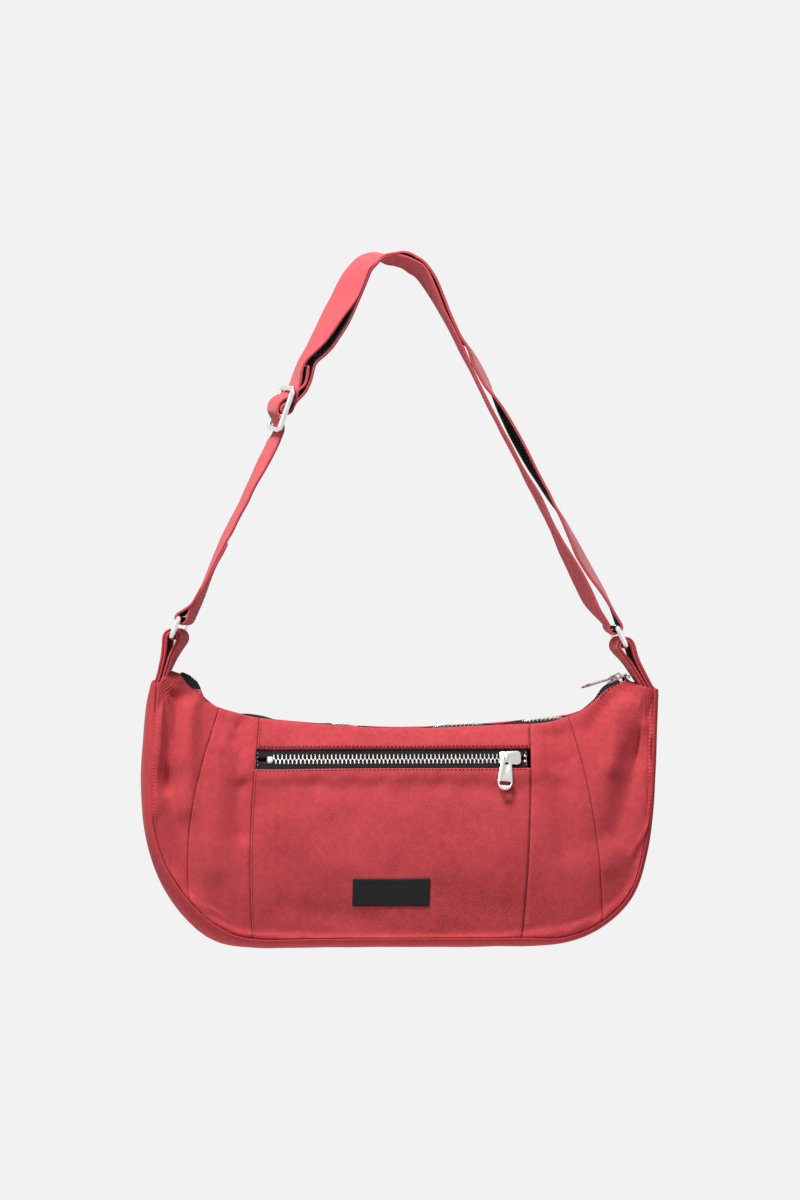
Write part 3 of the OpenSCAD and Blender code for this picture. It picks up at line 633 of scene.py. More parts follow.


# the thread's dark red, far darker than the cloth, is painted shade round the sunk stitches
red_thread_painted_shade = thread_material("red_thread_painted_shade", (0.075, 0.005, 0.008, 1), (0.15, 0.010, 0.014, 1))
FROM_SEAM, FROM_POCKET, FROM_ZIP = 0.0017, 0.0016, 0.0024
left_u, right_u = CENTRE_LEFT + FROM_SEAM / STATION, CENTRE_RIGHT - FROM_SEAM / STATION
low_v, high_v = WINDOW_V - FROM_POCKET / FRONT_HEIGHT, WAIST_V + FROM_POCKET / FRONT_HEIGHT
top_v = 1 - FROM_ZIP / FRONT_HEIGHT
for name, point, side in (("front_threads", front_point, 1), ("back_threads", back_point, -1)):
    rows = []
    for u in (left_u, right_u):
        if side > 0:
            rows.append(([(u, v) for v in steps(0.01, low_v, 60)], SEAM_STITCH))
            rows.append(([(u, v) for v in steps(high_v, top_v, 12)], SEAM_STITCH))
        else:
            rows.append(([(u, v) for v in steps(0.01, top_v, 70)], SEAM_STITCH))
    if side > 0:
        for v in (low_v, high_v):
            rows.append(([(u, v) for u in steps(left_u, right_u, 60)], EDGE_STITCH))
    for u0, u1 in ((0.3, 2.9), (15.3, LAST - 0.3)):
        rows.append(([(u, top_v) for u in steps(u0, u1, 24)], EDGE_STITCH))
    bm = bmesh.new()
    for row, pitch in rows:
        stitch_row(bm, [(Vector((p.x, p.y * side, p.z)), Vector((o.x, o.y * side, o.z)))
                        for p, o in ((point(u, v), outward(u, v)) for u, v in row)], pitch)
    threads = piece_from(bm, name)
    threads.data.materials.append(red_thread_painted_shade)
    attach(threads, "bag")

# Label: a small patch of black woven satin sewn flat on the front, left bare here. Its edges are
# turned under, so they are thicker and drop to the cloth.
LABEL_U, LABEL_V = 9.02, 0.226
LABEL_W, LABEL_H = 0.055, 0.020
CENTRE_HEIGHT = 0.152
label_du, label_dv = LABEL_W / 2 / STATION, LABEL_H / 2 / CENTRE_HEIGHT
label_nx, label_ny = 46, 18
label_x, label_y = spread(label_nx, LABEL_W, 0.0005), spread(label_ny, LABEL_H, 0.0005)


def label_place(i, j):
    u = LABEL_U - label_du + 2 * label_du * label_x[i]
    v = LABEL_V - label_dv + 2 * label_dv * label_y[j]
    near = min(min(label_x[i], 1 - label_x[i]) * LABEL_W, min(label_y[j], 1 - label_y[j]) * LABEL_H)
    lift = 0.0009 - 0.0004 * (near < 0.0001) + 0.00025 * math.exp(-((near - 0.0018) / 0.0011) ** 2)
    return front_point(u, v) + outward(u, v) * lift, (label_x[i] * LABEL_W, label_y[j] * LABEL_H)


label = grid_mesh("label_cloth", label_nx, label_ny, label_place, 0.0006)
label_satin, shader, shade = new_material(
    "label_satin", Roughness=0.55, Specular_IOR_Level=0.2, Sheen_Weight=0.02)
weave = shade.node("UVMap", uv_map="weave")
weft = (shade.node("SeparateXYZ", {0: weave}, out=1) * (1 / 0.00045)).wave()
warp = (shade.node("SeparateXYZ", {0: weave}, out=0) * (1 / 0.0009)).wave()
fibre = shade.node("TexNoise", {"Vector": weave, "Scale": 2500.0, "Detail": 2.0})
tone = weft * 0.35 + warp * 0.15 + fibre * 0.4
tone.mix((0.003, 0.003, 0.004, 1), (0.014, 0.014, 0.016, 1)).into(shader, "Base Color")
(weft * 0.6 + warp * 0.3 + fibre * 0.3).bump(shader, 0.4, 0.00012)
label.data.materials.append(label_satin)
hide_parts("label_patch")
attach(label, "bag")

# Pocket: an opening in the front with a black zip behind it. Two woven tapes with cords woven in
# beside the teeth, all in the plane of the opening, and a pouch of thin cloth hanging inside.
POCKET_BASE = Vector((0, -0.0215046, -0.366813))
POCKET_UP = Vector((0, 0.471422, 0.881908))
POCKET_OUT = Vector((0, -0.881908, 0.471422))
POCKET_TURN = Matrix((Vector((1, 0, 0)), POCKET_UP, POCKET_OUT)).transposed().to_4x4()
TAPE_X0, TAPE_X1 = -0.1052, 0.0922
TAPE = 0.0007
POCKET_TAPE_CELLS = 130
# place across the tape and height over it: cords beside the teeth, then flat to the hidden edge
TAPE_PROFILE = [
    (0.0013, -0.0002), (0.0022, 0.0), (0.0034, 0.00035), (0.0040, 0.00045), (0.0046, 0.0002),
    (0.0049, -0.0001), (0.0053, 0.0001), (0.0058, 0.0003), (0.0063, 0.0001), (0.0067, -0.0001),
    (0.0073, 0.0), (0.0090, 0.0), (0.01177, 0.0)]


# zip tape: a fine herringbone in black thread
BONE_WIDTH, BONE_PITCH = 0.0022, 0.0008
zip_tape, shader, shade = new_material("zip_tape", Roughness=0.8, Sheen_Weight=0.03, Specular_IOR_Level=0.2)
weave = shade.node("UVMap", uv_map="weave")
x = shade.node("SeparateXYZ", {0: weave}, out=0)
y = shade.node("SeparateXYZ", {0: weave}, out=1)
slant = (y * (1 / BONE_WIDTH)).math("PINGPONG", 1.0) * (BONE_WIDTH / 2)
bone = ((x + slant) * (1 / BONE_PITCH)).wave()
fibre = shade.node("TexNoise", {"Vector": weave, "Scale": 2600.0, "Detail": 3.0})
(bone * 0.5 + fibre * 0.5).mix((0.004, 0.004, 0.005, 1), (0.022, 0.021, 0.023, 1)).into(shader, "Base Color")
(bone * 0.6 + fibre * 0.4).bump(shader, 0.5, 0.00015)
for name, side in (("pocket_tape_upper", 1), ("pocket_tape_lower", -1)):
    def place(i, j):
        x = TAPE_X0 + (TAPE_X1 - TAPE_X0) * i / POCKET_TAPE_CELLS
        y, lift = TAPE_PROFILE[j]
        y = y * side
        p = POCKET_BASE + Vector((x, 0, 0)) + POCKET_UP * y + POCKET_OUT * (lift + TAPE / 2)
        return p, (x, y)

    tape = grid_mesh(name + "_weave", POCKET_TAPE_CELLS, len(TAPE_PROFILE) - 1, place, TAPE)
    if side < 0:
        tape.data.flip_normals()
    tape.data.materials.append(zip_tape)
    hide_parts(name)
    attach(tape, "bag")

LINING_THREAD = 0.0006
pouch_lining, shader, shade = new_material("pouch_lining", Roughness=0.85, Sheen_Weight=0.2)
place = shade.node("TexCoord", out="Object")
weft = (shade.node("SeparateXYZ", {0: place}, out=0) * (1 / LINING_THREAD)).wave()
warp = (shade.node("SeparateXYZ", {0: place}, out=2) * (1 / LINING_THREAD)).wave()
(weft * 0.5 + warp * 0.5).mix((0.10, 0.007, 0.010, 1), (0.17, 0.014, 0.018, 1)).into(shader, "Base Color")
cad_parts["pocket_pouch"].data.materials.clear()
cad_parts["pocket_pouch"].data.materials.append(pouch_lining)

pale_thread = thread_material("pale_thread", (0.62, 0.20, 0.22, 1), (0.85, 0.38, 0.40, 1))
bm = bmesh.new()
for x in (TAPE_X0 + 0.0012, TAPE_X1 - 0.0012):
    stitch_row(bm, [(POCKET_BASE + Vector((x, 0, 0)) + POCKET_UP * y + POCKET_OUT * 0.0008, POCKET_OUT)
                    for y in steps(-0.0062, 0.0062, 6)], 0.0031, share=0.6, radius=0.00032)
end_stitches = piece_from(bm, "pocket_end_stitches")
end_stitches.data.materials.append(pale_thread)
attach(end_stitches, "bag")

# Zip metal: nickel-plated teeth, stops, sliders and pullers, bright with fine scratches
TOOTH_PITCH = 0.003
POCKET_CHAIN_START = -0.093
POCKET_TEETH = 55


def nickel_plate(name, colour, rough, dull=None):
    material, shader, shade = new_material(name, Metallic=1.0)
    place = shade.node("TexCoord", out="Object")
    scratch = shade.node("TexNoise", {"Vector": place, "Scale": 700.0, "Detail": 4.0, "Roughness": 0.7})
    cloud = shade.node("TexNoise", {"Vector": place, "Scale": 120.0, "Detail": 2.0})
    dull = dull or [c * 0.84 for c in colour]
    cloud.mix((*dull, 1), (*colour, 1)).into(shader, "Base Color")
    ((scratch - 0.5) * 0.18 + rough).into(shader, "Roughness")
    scratch.bump(shader, 0.15, 0.00004)
    return material


def rounded_box(bm, size, place, bevel):
    """A box with bevelled edges, at a place given as a matrix."""
    made = bmesh.ops.create_cube(bm, size=1, matrix=place @ Matrix.Diagonal((*size, 1)))["verts"]
    edges = {edge for vert in made for edge in vert.link_edges}
    bmesh.ops.bevel(bm, geom=list(edges), affect="EDGES", offset=bevel, segments=1, profile=0.5, material=-1)


def tooth(bm, place, side):
    """One tooth: a leg clamped on the tape and a wider head that meets the other row."""
    rounded_box(bm, (0.0010, 0.0026, 0.0023), place @ Matrix.Translation((0, side * 0.0025, 0)), 0.00028)
    rounded_box(bm, (0.0015, 0.0018, 0.0015), place @ Matrix.Translation((0, side * 0.0007, 0)), 0.00035)


tooth_nickel = nickel_plate("tooth_nickel", (0.80, 0.79, 0.76), 0.26)
pocket_frame = Matrix.Translation(POCKET_BASE) @ POCKET_TURN
for name, side, shift in (("pocket_teeth_upper", 1, 0), ("pocket_teeth_lower", -1, TOOTH_PITCH / 2)):
    bm = bmesh.new()
    for k in range(POCKET_TEETH):
        x = POCKET_CHAIN_START + shift + k * TOOTH_PITCH + TOOTH_PITCH / 4
        tooth(bm, pocket_frame @ Matrix.Translation((x, 0, 0)), side)
    teeth = piece_from(bm, name + "_metal", smooth=False)
    teeth.data.materials.append(tooth_nickel)
    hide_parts(name)
    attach(teeth, "bag")


def softened(name, body, material, bevel):
    """A constructed metal part with its sharp edges rounded off, as cast and plated."""
    bm = bmesh.new()
    bm.from_mesh(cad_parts[name].data)
    bmesh.ops.remove_doubles(bm, verts=bm.verts, dist=1e-6)
    bmesh.ops.dissolve_limit(bm, angle_limit=math.radians(3), verts=bm.verts, edges=bm.edges)
    sharp = [edge for edge in bm.edges if edge.is_manifold and edge.calc_face_angle() > math.radians(35)]
    bmesh.ops.bevel(bm, geom=sharp, affect="EDGES", offset=bevel, segments=3, profile=0.5, material=-1,
                    clamp_overlap=True)
    piece = piece_from(bm, name + "_plated")
    piece.data.set_sharp_from_angle(angle=math.radians(40))
    piece.data.materials.clear()
    piece.data.materials.append(material)
    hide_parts(name)
    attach(piece, body)


bright_nickel = nickel_plate("bright_nickel", (0.70, 0.68, 0.65), 0.21)
# the top zip's slider and puller: a pinkish tint with dark maroon clouds, a painted reflection of the red
# bag and painted shade
nickel_painted_shade_and_reflection = nickel_plate("nickel_painted_shade_and_reflection", (0.62, 0.44, 0.43), 0.2, dull=(0.10, 0.022, 0.026))
for name, body, metal, bevel in (
        ("pocket_stops_right", "bag", bright_nickel, 0.0004),
        ("pocket_slider", "pocket_slider", bright_nickel, 0.00028),
        ("pocket_puller", "pocket_puller", bright_nickel, 0.00032),
        ("top_stop_left", "bag", bright_nickel, 0.0006),
        ("top_stops_right", "bag", bright_nickel, 0.0003),
        ("top_slider", "top_slider", nickel_painted_shade_and_reflection, 0.00028),
        ("top_puller", "top_puller", nickel_painted_shade_and_reflection, 0.00032)):
    softened(name, body, metal, bevel)

STOP_SIZE = (0.0048, 0.0056, 0.0028)
STOP_PLACE = (-0.0953, 0, 0.0001)
STOP_BEVEL = 0.0009
bm = bmesh.new()
rounded_box(bm, STOP_SIZE, pocket_frame @ Matrix.Translation(STOP_PLACE), STOP_BEVEL)
bottom_stop = piece_from(bm, "pocket_stop_left_plated", smooth=False)
bottom_stop.data.materials.append(bright_nickel)
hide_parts("pocket_stop_left")
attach(bottom_stop, "bag")

# Top zip: the same tape and teeth in the mouth of the bag, following its sagging edge. The tapes
# are sewn under the panels' turned edges and rise to the chain.
CHAIN = [
    (-0.1588, -0.3064), (-0.1556, -0.3078), (-0.1524, -0.3098), (-0.1494, -0.3130), (-0.1474, -0.3170),
    (-0.1462, -0.3216), (-0.1448, -0.3264), (-0.1415, -0.3306), (-0.1355, -0.3334), (-0.1275, -0.3358),
    (-0.1185, -0.3366), (-0.1110, -0.3368), (-0.1030, -0.3380), (-0.0980, -0.3390), (-0.0900, -0.3416),
    (-0.0725, -0.3432), (-0.0540, -0.3440), (-0.0460, -0.3429), (-0.0380, -0.3434), (-0.0280, -0.3458),
    (-0.0045, -0.3476), (0.0200, -0.3470), (0.0300, -0.3440), (0.0420, -0.3434), (0.0540, -0.3430),
    (0.0660, -0.3448), (0.0800, -0.3436), (0.0900, -0.3418), (0.0980, -0.3399), (0.1080, -0.3392),
    (0.1160, -0.3386), (0.1240, -0.3396), (0.1312, -0.3378), (0.1376, -0.3340), (0.1424, -0.3290),
    (0.1464, -0.3228), (0.1500, -0.3178), (0.1550, -0.3142), (0.1600, -0.3124), (0.1660, -0.3101),
    (0.1710, -0.3092)]
# where the teeth show above the front edge; elsewhere the tape's woven cord stands over them
GLINTS = [(-0.050, -0.034), (0.027, 0.057), (0.093, 0.118)]
CHAIN = [Vector(p) for p in CHAIN]
# lengths left free of teeth for the bottom stop, and for the slider and the top stops
CHAIN_START, CHAIN_FREE = 0.006, 0.018
chain_line = [along(CHAIN, at) for at in steps(0, len(CHAIN) - 1, 170)]
chain_run = lengths_along(chain_line)
chain_across = [p.x for p in chain_line]


def cell_at(values, value):
    """Which cell of a rising list a value falls in."""
    first_past = next((n for n, one in enumerate(values) if one > value), len(values))
    return max(0, min(len(values) - 2, first_past - 1))


def on_chain(s):
    """The place on the chain at a length along it."""
    k = cell_at(chain_run, s)
    return chain_line[k].lerp(chain_line[k + 1], (s - chain_run[k]) / (chain_run[k + 1] - chain_run[k]))


def chain_level(x):
    """Height of the chain at a place across the bag."""
    k = cell_at(chain_across, x)
    a, b = chain_line[k], chain_line[k + 1]
    return a.y + (b.y - a.y) * max(-1, min(2, (x - a.x) / (b.x - a.x)))


# the tape's rows: heights where it lies under the cloth, and how far under; past them it rises
TOP_ROWS = [0.93, 0.95, 0.965, 0.98, 0.99, 1.0]
UNDER = 0.0019
CORD_LOW, CORD_HIGH = 0.0002, 0.0019
TOP_TAPE_CELLS = 200
for name, side in (("top_tape_front", 1), ("top_tape_back", -1)):
    point = front_point if side > 0 else back_point

    def place(i, j):
        u = 0.4 + (LAST - 0.8) * i / TOP_TAPE_CELLS
        if j < len(TOP_ROWS):
            v = TOP_ROWS[j]
            return point(u, v) - outward(u, v) * UNDER, (wall(u, v).x, j * 0.002)
        e = wall(u, 1)
        glints = any(a < e.x < b for a, b in GLINTS)
        slope = (chain_level(e.x + 0.0012) - chain_level(e.x - 0.0012)) / 0.0024
        over = Vector((-slope, 0, 1)).normalized() * (CORD_LOW if glints else CORD_HIGH)
        p = Vector((e.x, -0.0022 if glints else -0.0043, chain_level(e.x))) + over
        if j == len(TOP_ROWS):
            inner = e - outward(u, 1) * UNDER
            p = inner.lerp(p, 0.5) + Vector((0, 0, -0.0004))
        return p, (e.x, j * 0.002)

    tape = grid_mesh(name + "_weave", TOP_TAPE_CELLS, len(TOP_ROWS) + 1, place, TAPE, side)
    tape.data.materials.append(zip_tape)
    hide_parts(name)
    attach(tape, "bag")

top_teeth_count = int((chain_run[-1] - CHAIN_FREE - CHAIN_START) / TOOTH_PITCH)
for name, side, shift in (("top_teeth_front", -1, 0), ("top_teeth_back", 1, TOOTH_PITCH / 2)):
    bm = bmesh.new()
    for k in range(top_teeth_count):
        s = CHAIN_START + shift + k * TOOTH_PITCH + TOOTH_PITCH / 4
        a, b = on_chain(s - 0.001), on_chain(s + 0.001)
        run = Vector((b.x - a.x, 0, b.y - a.y)).normalized()
        p = on_chain(s)
        turn = Matrix((run, Vector((0, 1, 0)), run.cross(Vector((0, 1, 0))))).transposed().to_4x4()
        tooth(bm, Matrix.Translation((p.x, 0, p.y)) @ turn, side)
    teeth = piece_from(bm, name + "_metal", smooth=False)
    teeth.data.materials.append(tooth_nickel)
    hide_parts(name)
    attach(teeth, "bag")

# Rings and adjuster: bent from round nickel wire, brazed where the ends meet. Two rings hang in the
# tabs and carry the strap; the adjuster has a middle bar that the strap is woven over.
RING_WIRE = 0.0038
RING_BARS = 0.0154
RING_IN = 0.040
RING_CORNER = 0.0034
RINGS = [
    # name, body, centre x and z, lean, turn about its own length
    ("ring_left", "left_ring", (-0.1608, -0.2719), -21.7, 8),
    ("ring_right", "right_ring", (0.1596, -0.2785), 25.3, -3),
]
ADJUSTER_WIRE = 0.004
ADJUSTER_LENGTH = 0.035
ADJUSTER_CENTRE = (-0.0868, -0.112)
ADJUSTER_LEAN, ADJUSTER_YAW = -19.5, 11
hardware_nickel = nickel_plate("hardware_nickel", (0.86, 0.85, 0.82), 0.14)


def wire_loop(bm, width, height, corner, wire, sides=20):
    """A closed rectangle of wire in the YZ plane: a circle drawn along its sides and spun at its corners."""
    made = bmesh.ops.create_circle(bm, segments=sides, radius=wire / 2)["verts"]
    bmesh.ops.rotate(bm, verts=made, cent=(0, 0, 0), matrix=Matrix.Rotation(math.radians(90), 3, "X"))
    bmesh.ops.translate(bm, verts=made, vec=(0, -width / 2 + corner, height / 2))
    ends = [edge for edge in bm.edges if edge.verts[0] in made and edge.verts[1] in made]
    heading, place = Vector((0, 1, 0)), Vector((0, -width / 2 + corner, height / 2))
    for length in (width, height, width, height):
        made = bmesh.ops.extrude_edge_only(bm, edges=ends)["geom"]
        verts = [g for g in made if isinstance(g, bmesh.types.BMVert)]
        edges = [g for g in made if isinstance(g, bmesh.types.BMEdge)]
        bmesh.ops.translate(bm, verts=verts, vec=heading * (length - 2 * corner))
        place = place + heading * (length - 2 * corner)
        ends = [edge for edge in edges if edge.verts[0] in verts and edge.verts[1] in verts]
        turned = Vector((0, heading.z, -heading.y))
        made = bmesh.ops.spin(
            bm, geom=ends, cent=place + turned * corner, axis=(1, 0, 0), dvec=(0, 0, 0),
            angle=math.radians(-90), steps=6, use_merge=False, use_duplicate=False)["geom_last"]
        place = place + heading * corner + turned * corner
        heading = turned
        ends = [g for g in made if isinstance(g, bmesh.types.BMEdge)]
    bmesh.ops.remove_doubles(bm, verts=bm.verts, dist=1e-5)
    bmesh.ops.recalc_face_normals(bm, faces=bm.faces)


def placed(bm, centre, lean, yaw):
    """Leans a wire shape in the plane of the bag, turns it about its length and moves it to its centre."""
    turn = Matrix.Rotation(math.radians(-lean), 4, "Y") @ Matrix.Rotation(math.radians(yaw), 4, "Z")
    bmesh.ops.transform(bm, verts=bm.verts, matrix=Matrix.Translation((centre[0], 0, centre[1])) @ turn)


for name, body, centre, lean, yaw in RINGS:
    bm = bmesh.new()
    wire_loop(bm, RING_IN + RING_WIRE, RING_BARS, RING_CORNER, RING_WIRE)
    placed(bm, centre, lean, -yaw)
    ring = piece_from(bm, name + "_wire")
    ring.data.materials.append(hardware_nickel)
    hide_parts(name)
    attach(ring, body)

bm = bmesh.new()
wire_loop(bm, RING_IN + ADJUSTER_WIRE, ADJUSTER_LENGTH - ADJUSTER_WIRE, RING_CORNER, ADJUSTER_WIRE)
bmesh.ops.create_cone(bm, cap_ends=True, segments=20, radius1=ADJUSTER_WIRE / 2, radius2=ADJUSTER_WIRE / 2,
                      depth=RING_IN + ADJUSTER_WIRE * 0.7, matrix=Matrix.Rotation(math.radians(90), 4, "X"))
placed(bm, ADJUSTER_CENTRE, ADJUSTER_LEAN, ADJUSTER_YAW)
adjuster = piece_from(bm, "adjuster_wire")
adjuster.data.set_sharp_from_angle(angle=math.radians(50))
adjuster.data.materials.append(hardware_nickel)
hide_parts("adjuster_slide")
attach(adjuster, "adjuster")

# Strap: one long strip of the twill, folded and pressed flat, its inner side coloured nearly black as
# painted shade between its layers. From its end, turned round the left ring, it runs through the adjuster,
# over the hook and round the right ring, and back beneath itself to the adjuster's middle bar, where it is
# sewn.
STRAP_W = 0.038
STRAP_T = 0.0022
# routes: x, z, the turn about the run in degrees and, where the route bends back, the direction that
# the outer side faces
OUTER_RUN = [
    (-0.0754, -0.0912, 10.2), (-0.0739, -0.0850, 7.8), (-0.0706, -0.0770, 7.8), (-0.0660, -0.0710, 10.5),
    (-0.0617, -0.0651, 14.5), (-0.0578, -0.0593, 17.9), (-0.0526, -0.0505, 20.9), (-0.0474, -0.0417, 24),
    (-0.0416, -0.0330, 27.2), (-0.0367, -0.0242, 29.2), (-0.0330, -0.0165, 27.2),
    (-0.0298, -0.0108, 23.2), (-0.0262, -0.0062, 20.7), (-0.0216, -0.0035, 18.2),
    (-0.0179, -0.0020, 14.7), (-0.0150, -0.0008, 9.7), (-0.0102, -0.0007, 2.5), (-0.0037, -0.0010, -2),
    (0.0013, -0.0006, -4), (0.0061, -0.0014, -4), (0.0111, -0.0040, -3), (0.0162, -0.0068, -1.5),
    (0.0204, -0.0115, -0.5), (0.0249, -0.0179, 0.3), (0.0284, -0.0251, 0.3), (0.0319, -0.0338, 0.3),
    (0.0353, -0.0426, 0.6), (0.0393, -0.0514, 0.8), (0.0436, -0.0602, 1.4), (0.0501, -0.0681, 5.9),
    (0.0544, -0.0769, 9.9), (0.0590, -0.0856, 10.7), (0.0635, -0.0944, 9.5), (0.0686, -0.1032, 3),
    (0.0734, -0.1120, -1.5), (0.0781, -0.1208, -3.6), (0.0828, -0.1296, -4.8), (0.0875, -0.1383, -5),
    (0.0922, -0.1471, -4.4), (0.0971, -0.1559, -3), (0.1023, -0.1647, -1), (0.1075, -0.1735, 0.3),
    (0.1125, -0.1823, 2.8), (0.1179, -0.1911, 5.7), (0.1225, -0.1998, 7.8), (0.1270, -0.2086, 9.8),
    (0.1312, -0.2174, 11.7), (0.1362, -0.2262, 11.1), (0.1416, -0.2350, 9.6), (0.1474, -0.2438, 7.6),
    (0.1524, -0.2525, 5.9), (0.1566, -0.2613, 3.5)]
INNER_RUN = [
    (-0.0714, -0.1003, 6), (-0.0682, -0.0944, 6), (-0.0663, -0.0886, 6), (-0.0654, -0.0830, 7),
    (-0.0642, -0.0769, 12), (-0.0584, -0.0710, 14), (-0.0529, -0.0651, 14.5), (-0.0503, -0.0593, 17.9),
    (-0.0456, -0.0505, 20.7), (-0.0421, -0.0417, 23.2), (-0.0384, -0.0335, 23.2),
    (-0.0341, -0.0245, 22.2), (-0.0304, -0.0175, 19.7), (-0.0273, -0.0124, 16.2),
    (-0.0241, -0.0086, 13.2), (-0.0202, -0.0060, 10.2), (-0.0146, -0.0032, 3.2), (-0.0099, -0.0036, -4),
    (-0.0037, -0.0034, -7), (0.0037, -0.0053, -7.7), (0.0088, -0.0083, -9.7), (0.0132, -0.0106, -10),
    (0.0174, -0.0154, -9.2), (0.0225, -0.0242, -6.2), (0.0271, -0.0329, -3.5), (0.0313, -0.0417, -1.5),
    (0.0359, -0.0505, -0.7), (0.0405, -0.0593, -0.2), (0.0448, -0.0681, 0.1), (0.0490, -0.0769, 1.2),
    (0.0533, -0.0856, 1.9), (0.0575, -0.0944, 2.3), (0.0617, -0.1032, 2.3), (0.0659, -0.1120, 2.3),
    (0.0706, -0.1208, 2.3), (0.0751, -0.1296, 2), (0.0799, -0.1383, 2), (0.0845, -0.1471, 2),
    (0.0892, -0.1559, 1.5), (0.0941, -0.1647, -0.3), (0.0992, -0.1735, -1.3), (0.1036, -0.1823, -1.1),
    (0.1078, -0.1911, -0.1), (0.1121, -0.1998, -0.4), (0.1164, -0.2086, -1.7), (0.1209, -0.2174, -4.5),
    (0.1258, -0.2262, -6.5), (0.1304, -0.2350, -8.5), (0.1348, -0.2438, -8.7), (0.1391, -0.2525, -8.3),
    (0.1438, -0.2600, -4.7)]
LOWER_RUN = [
    (-0.1514, -0.2563, -5, 153), (-0.1478, -0.2510, -4.5), (-0.1450, -0.2440, -2),
    (-0.1418, -0.2367, 2.2), (-0.1384, -0.2295, 3.5), (-0.1350, -0.2220, 4.5), (-0.1315, -0.2147, 6),
    (-0.1282, -0.2074, 7), (-0.1242, -0.2000, 8), (-0.1208, -0.1932, 7.4), (-0.1169, -0.1859, 7),
    (-0.1132, -0.1786, 7.6), (-0.1100, -0.1713, 8.1), (-0.1063, -0.1640, 8.8), (-0.1007, -0.1530, 11.2),
    (-0.0976, -0.1471, 11.7), (-0.0947, -0.1413, 12.1), (-0.0923, -0.1362, 12.6)]
# a place inside the strap's loop: the outer side of a run faces away from it
ARM_HOLE = Vector((-0.005, -0.190))
# radius of the bends round the rings' bars, right and left
LOOP_R, LOWER_LOOP_R = 0.0047, 0.0044
# from the adjuster's middle bar to its outer bars
BAR = (ADJUSTER_LENGTH - ADJUSTER_WIRE) / 2


def by_adjuster(s, n, turn=ADJUSTER_YAW):
    """A place beside the adjuster: s upwards along it, n away from the arm hole, in line with its bars."""
    lean = math.radians(-ADJUSTER_LEAN)
    x, z = math.sin(lean), math.cos(lean)
    return (ADJUSTER_CENTRE[0] + x * s - z * n, ADJUSTER_CENTRE[1] + z * s + x * n,
            turn, 180 + ADJUSTER_LEAN)


def bar_at(centre, lean, s):
    """The place of a bar at a height s above the middle of a leaning ring."""
    return centre[0] - math.sin(math.radians(lean)) * s, centre[1] + math.cos(math.radians(lean)) * s


def loop_round(centre, r, a0, a1, n, turn=0, facing=0):
    """Points of an arc round a bar, from one angle to another."""
    angles = [math.radians(a) for a in steps(a0, a1, n)]
    return [(centre[0] + r * math.cos(a), centre[1] + r * math.sin(a), turn, facing) for a in angles]


def ribbon(name, route, width, thickness, cell=0.0026, across=14, crown=0.0003, ripple=0.0004):
    """A folded strip along a route, its edges rounded, with a faint crown and unevenness."""
    places, edges = [], []
    last = len(route) - 1
    fine_steps = 16
    for k, point in enumerate(route):
        ahead, behind = route[min(k + 1, last)], route[max(k - 1, 0)]
        run = Vector((ahead[0] - behind[0], 0, ahead[1] - behind[1])).normalized()
        if len(point) > 3:
            lean = Vector((math.cos(math.radians(point[3])), 0, math.sin(math.radians(point[3]))))
        else:
            away = Vector((point[0] - ARM_HOLE.x, 0, point[1] - ARM_HOLE.y))
            lean = (away - run * away.dot(run)).normalized()
        turn = math.radians(point[2])
        places.append(Vector((point[0], 0, point[1])))
        edges.append(Vector((0, math.cos(turn), 0)) + lean * math.sin(turn))
    fine = [(along(places, at), along(edges, at).normalized()) for at in steps(0, last, last * fine_steps)]
    run_length = lengths_along([centre for centre, edge in fine])
    total = run_length[-1]
    n = max(8, round(total / cell))
    rows = []
    k = 0
    for j in range(n + 1):
        s = total * j / n
        while k < len(fine) - 2 and run_length[k + 1] < s:
            k += 1
        f = (s - run_length[k]) / (run_length[k + 1] - run_length[k])
        centre = fine[k][0].lerp(fine[k + 1][0], f)
        edge = fine[k][1].lerp(fine[k + 1][1], f).normalized()
        run = (fine[k + 1][0] - fine[k][0]).normalized()
        rows.append((s, centre, edge, run.cross(edge).normalized()))
    shares = spread(across, width, 0.0009)

    def place(i, j):
        s, centre, edge, face = rows[i]
        share = shares[j] * 2 - 1
        lift = crown * (1 - share * share) + ripple * noise.noise(Vector((s * 45, share * 0.8, total * 90)))
        sway = 0.0004 * noise.noise(Vector((s * 30, 7, total * 50)))
        return centre + edge * (share * width / 2 + sway) + face * lift, (s, share * width / 2)

    return grid_mesh(name, n, across, place, thickness, offset=0)


# the inner side's nearly black colour is painted shade for the narrow gaps between the strap's layers
strap_inside_painted_shade = twill_cloth(
    "strap_inside_painted_shade", (0.010, 0.004, 0.005, 1), (0.030, 0.011, 0.013, 1), 0.02, strength=0.45)
strap_twill = twill_cloth(
    "strap_twill", (0.60, 0.068, 0.084, 1), (0.86, 0.125, 0.145, 1), 0.2, strength=0.45)
# from the middle of a bar to the middle of the strap that bends over it, with a little air between
BAR_AIR = 0.0005
WEAVE_R = ADJUSTER_WIRE / 2 + BAR_AIR + STRAP_T / 2
(_, _, left_centre, left_lean, _), (_, _, right_centre, right_lean, _) = RINGS
upper_left = Vector(bar_at(left_centre, left_lean, RING_BARS / 2)) + Vector((0.0008, 0))
upper_right = bar_at(right_centre, right_lean, RING_BARS / 2)
turned_end = [
    (-0.1268, -0.2090, 4), (-0.1300, -0.2159, 3), (-0.1335, -0.2232, 1), (-0.1371, -0.2305, 0),
    (-0.1403, -0.2379, -1.5), (-0.1437, -0.2452, -4), (-0.1470, -0.2520, -6), (-0.1505, -0.2585, -8, 153)]
woven = [by_adjuster(*p) for p in (
    (-BAR - 0.0045, -0.0038, 10), (-BAR, -WEAVE_R - 0.0001), (-BAR + 0.0045, -0.0020),
    (-BAR + 0.0085, 0.0018), (-0.0040, 0.0050), (0.0005, 0.0060), (0.0045, 0.0052), (BAR - 0.0070, 0.0022),
    (BAR - 0.0035, -0.0018), (BAR, -WEAVE_R))]
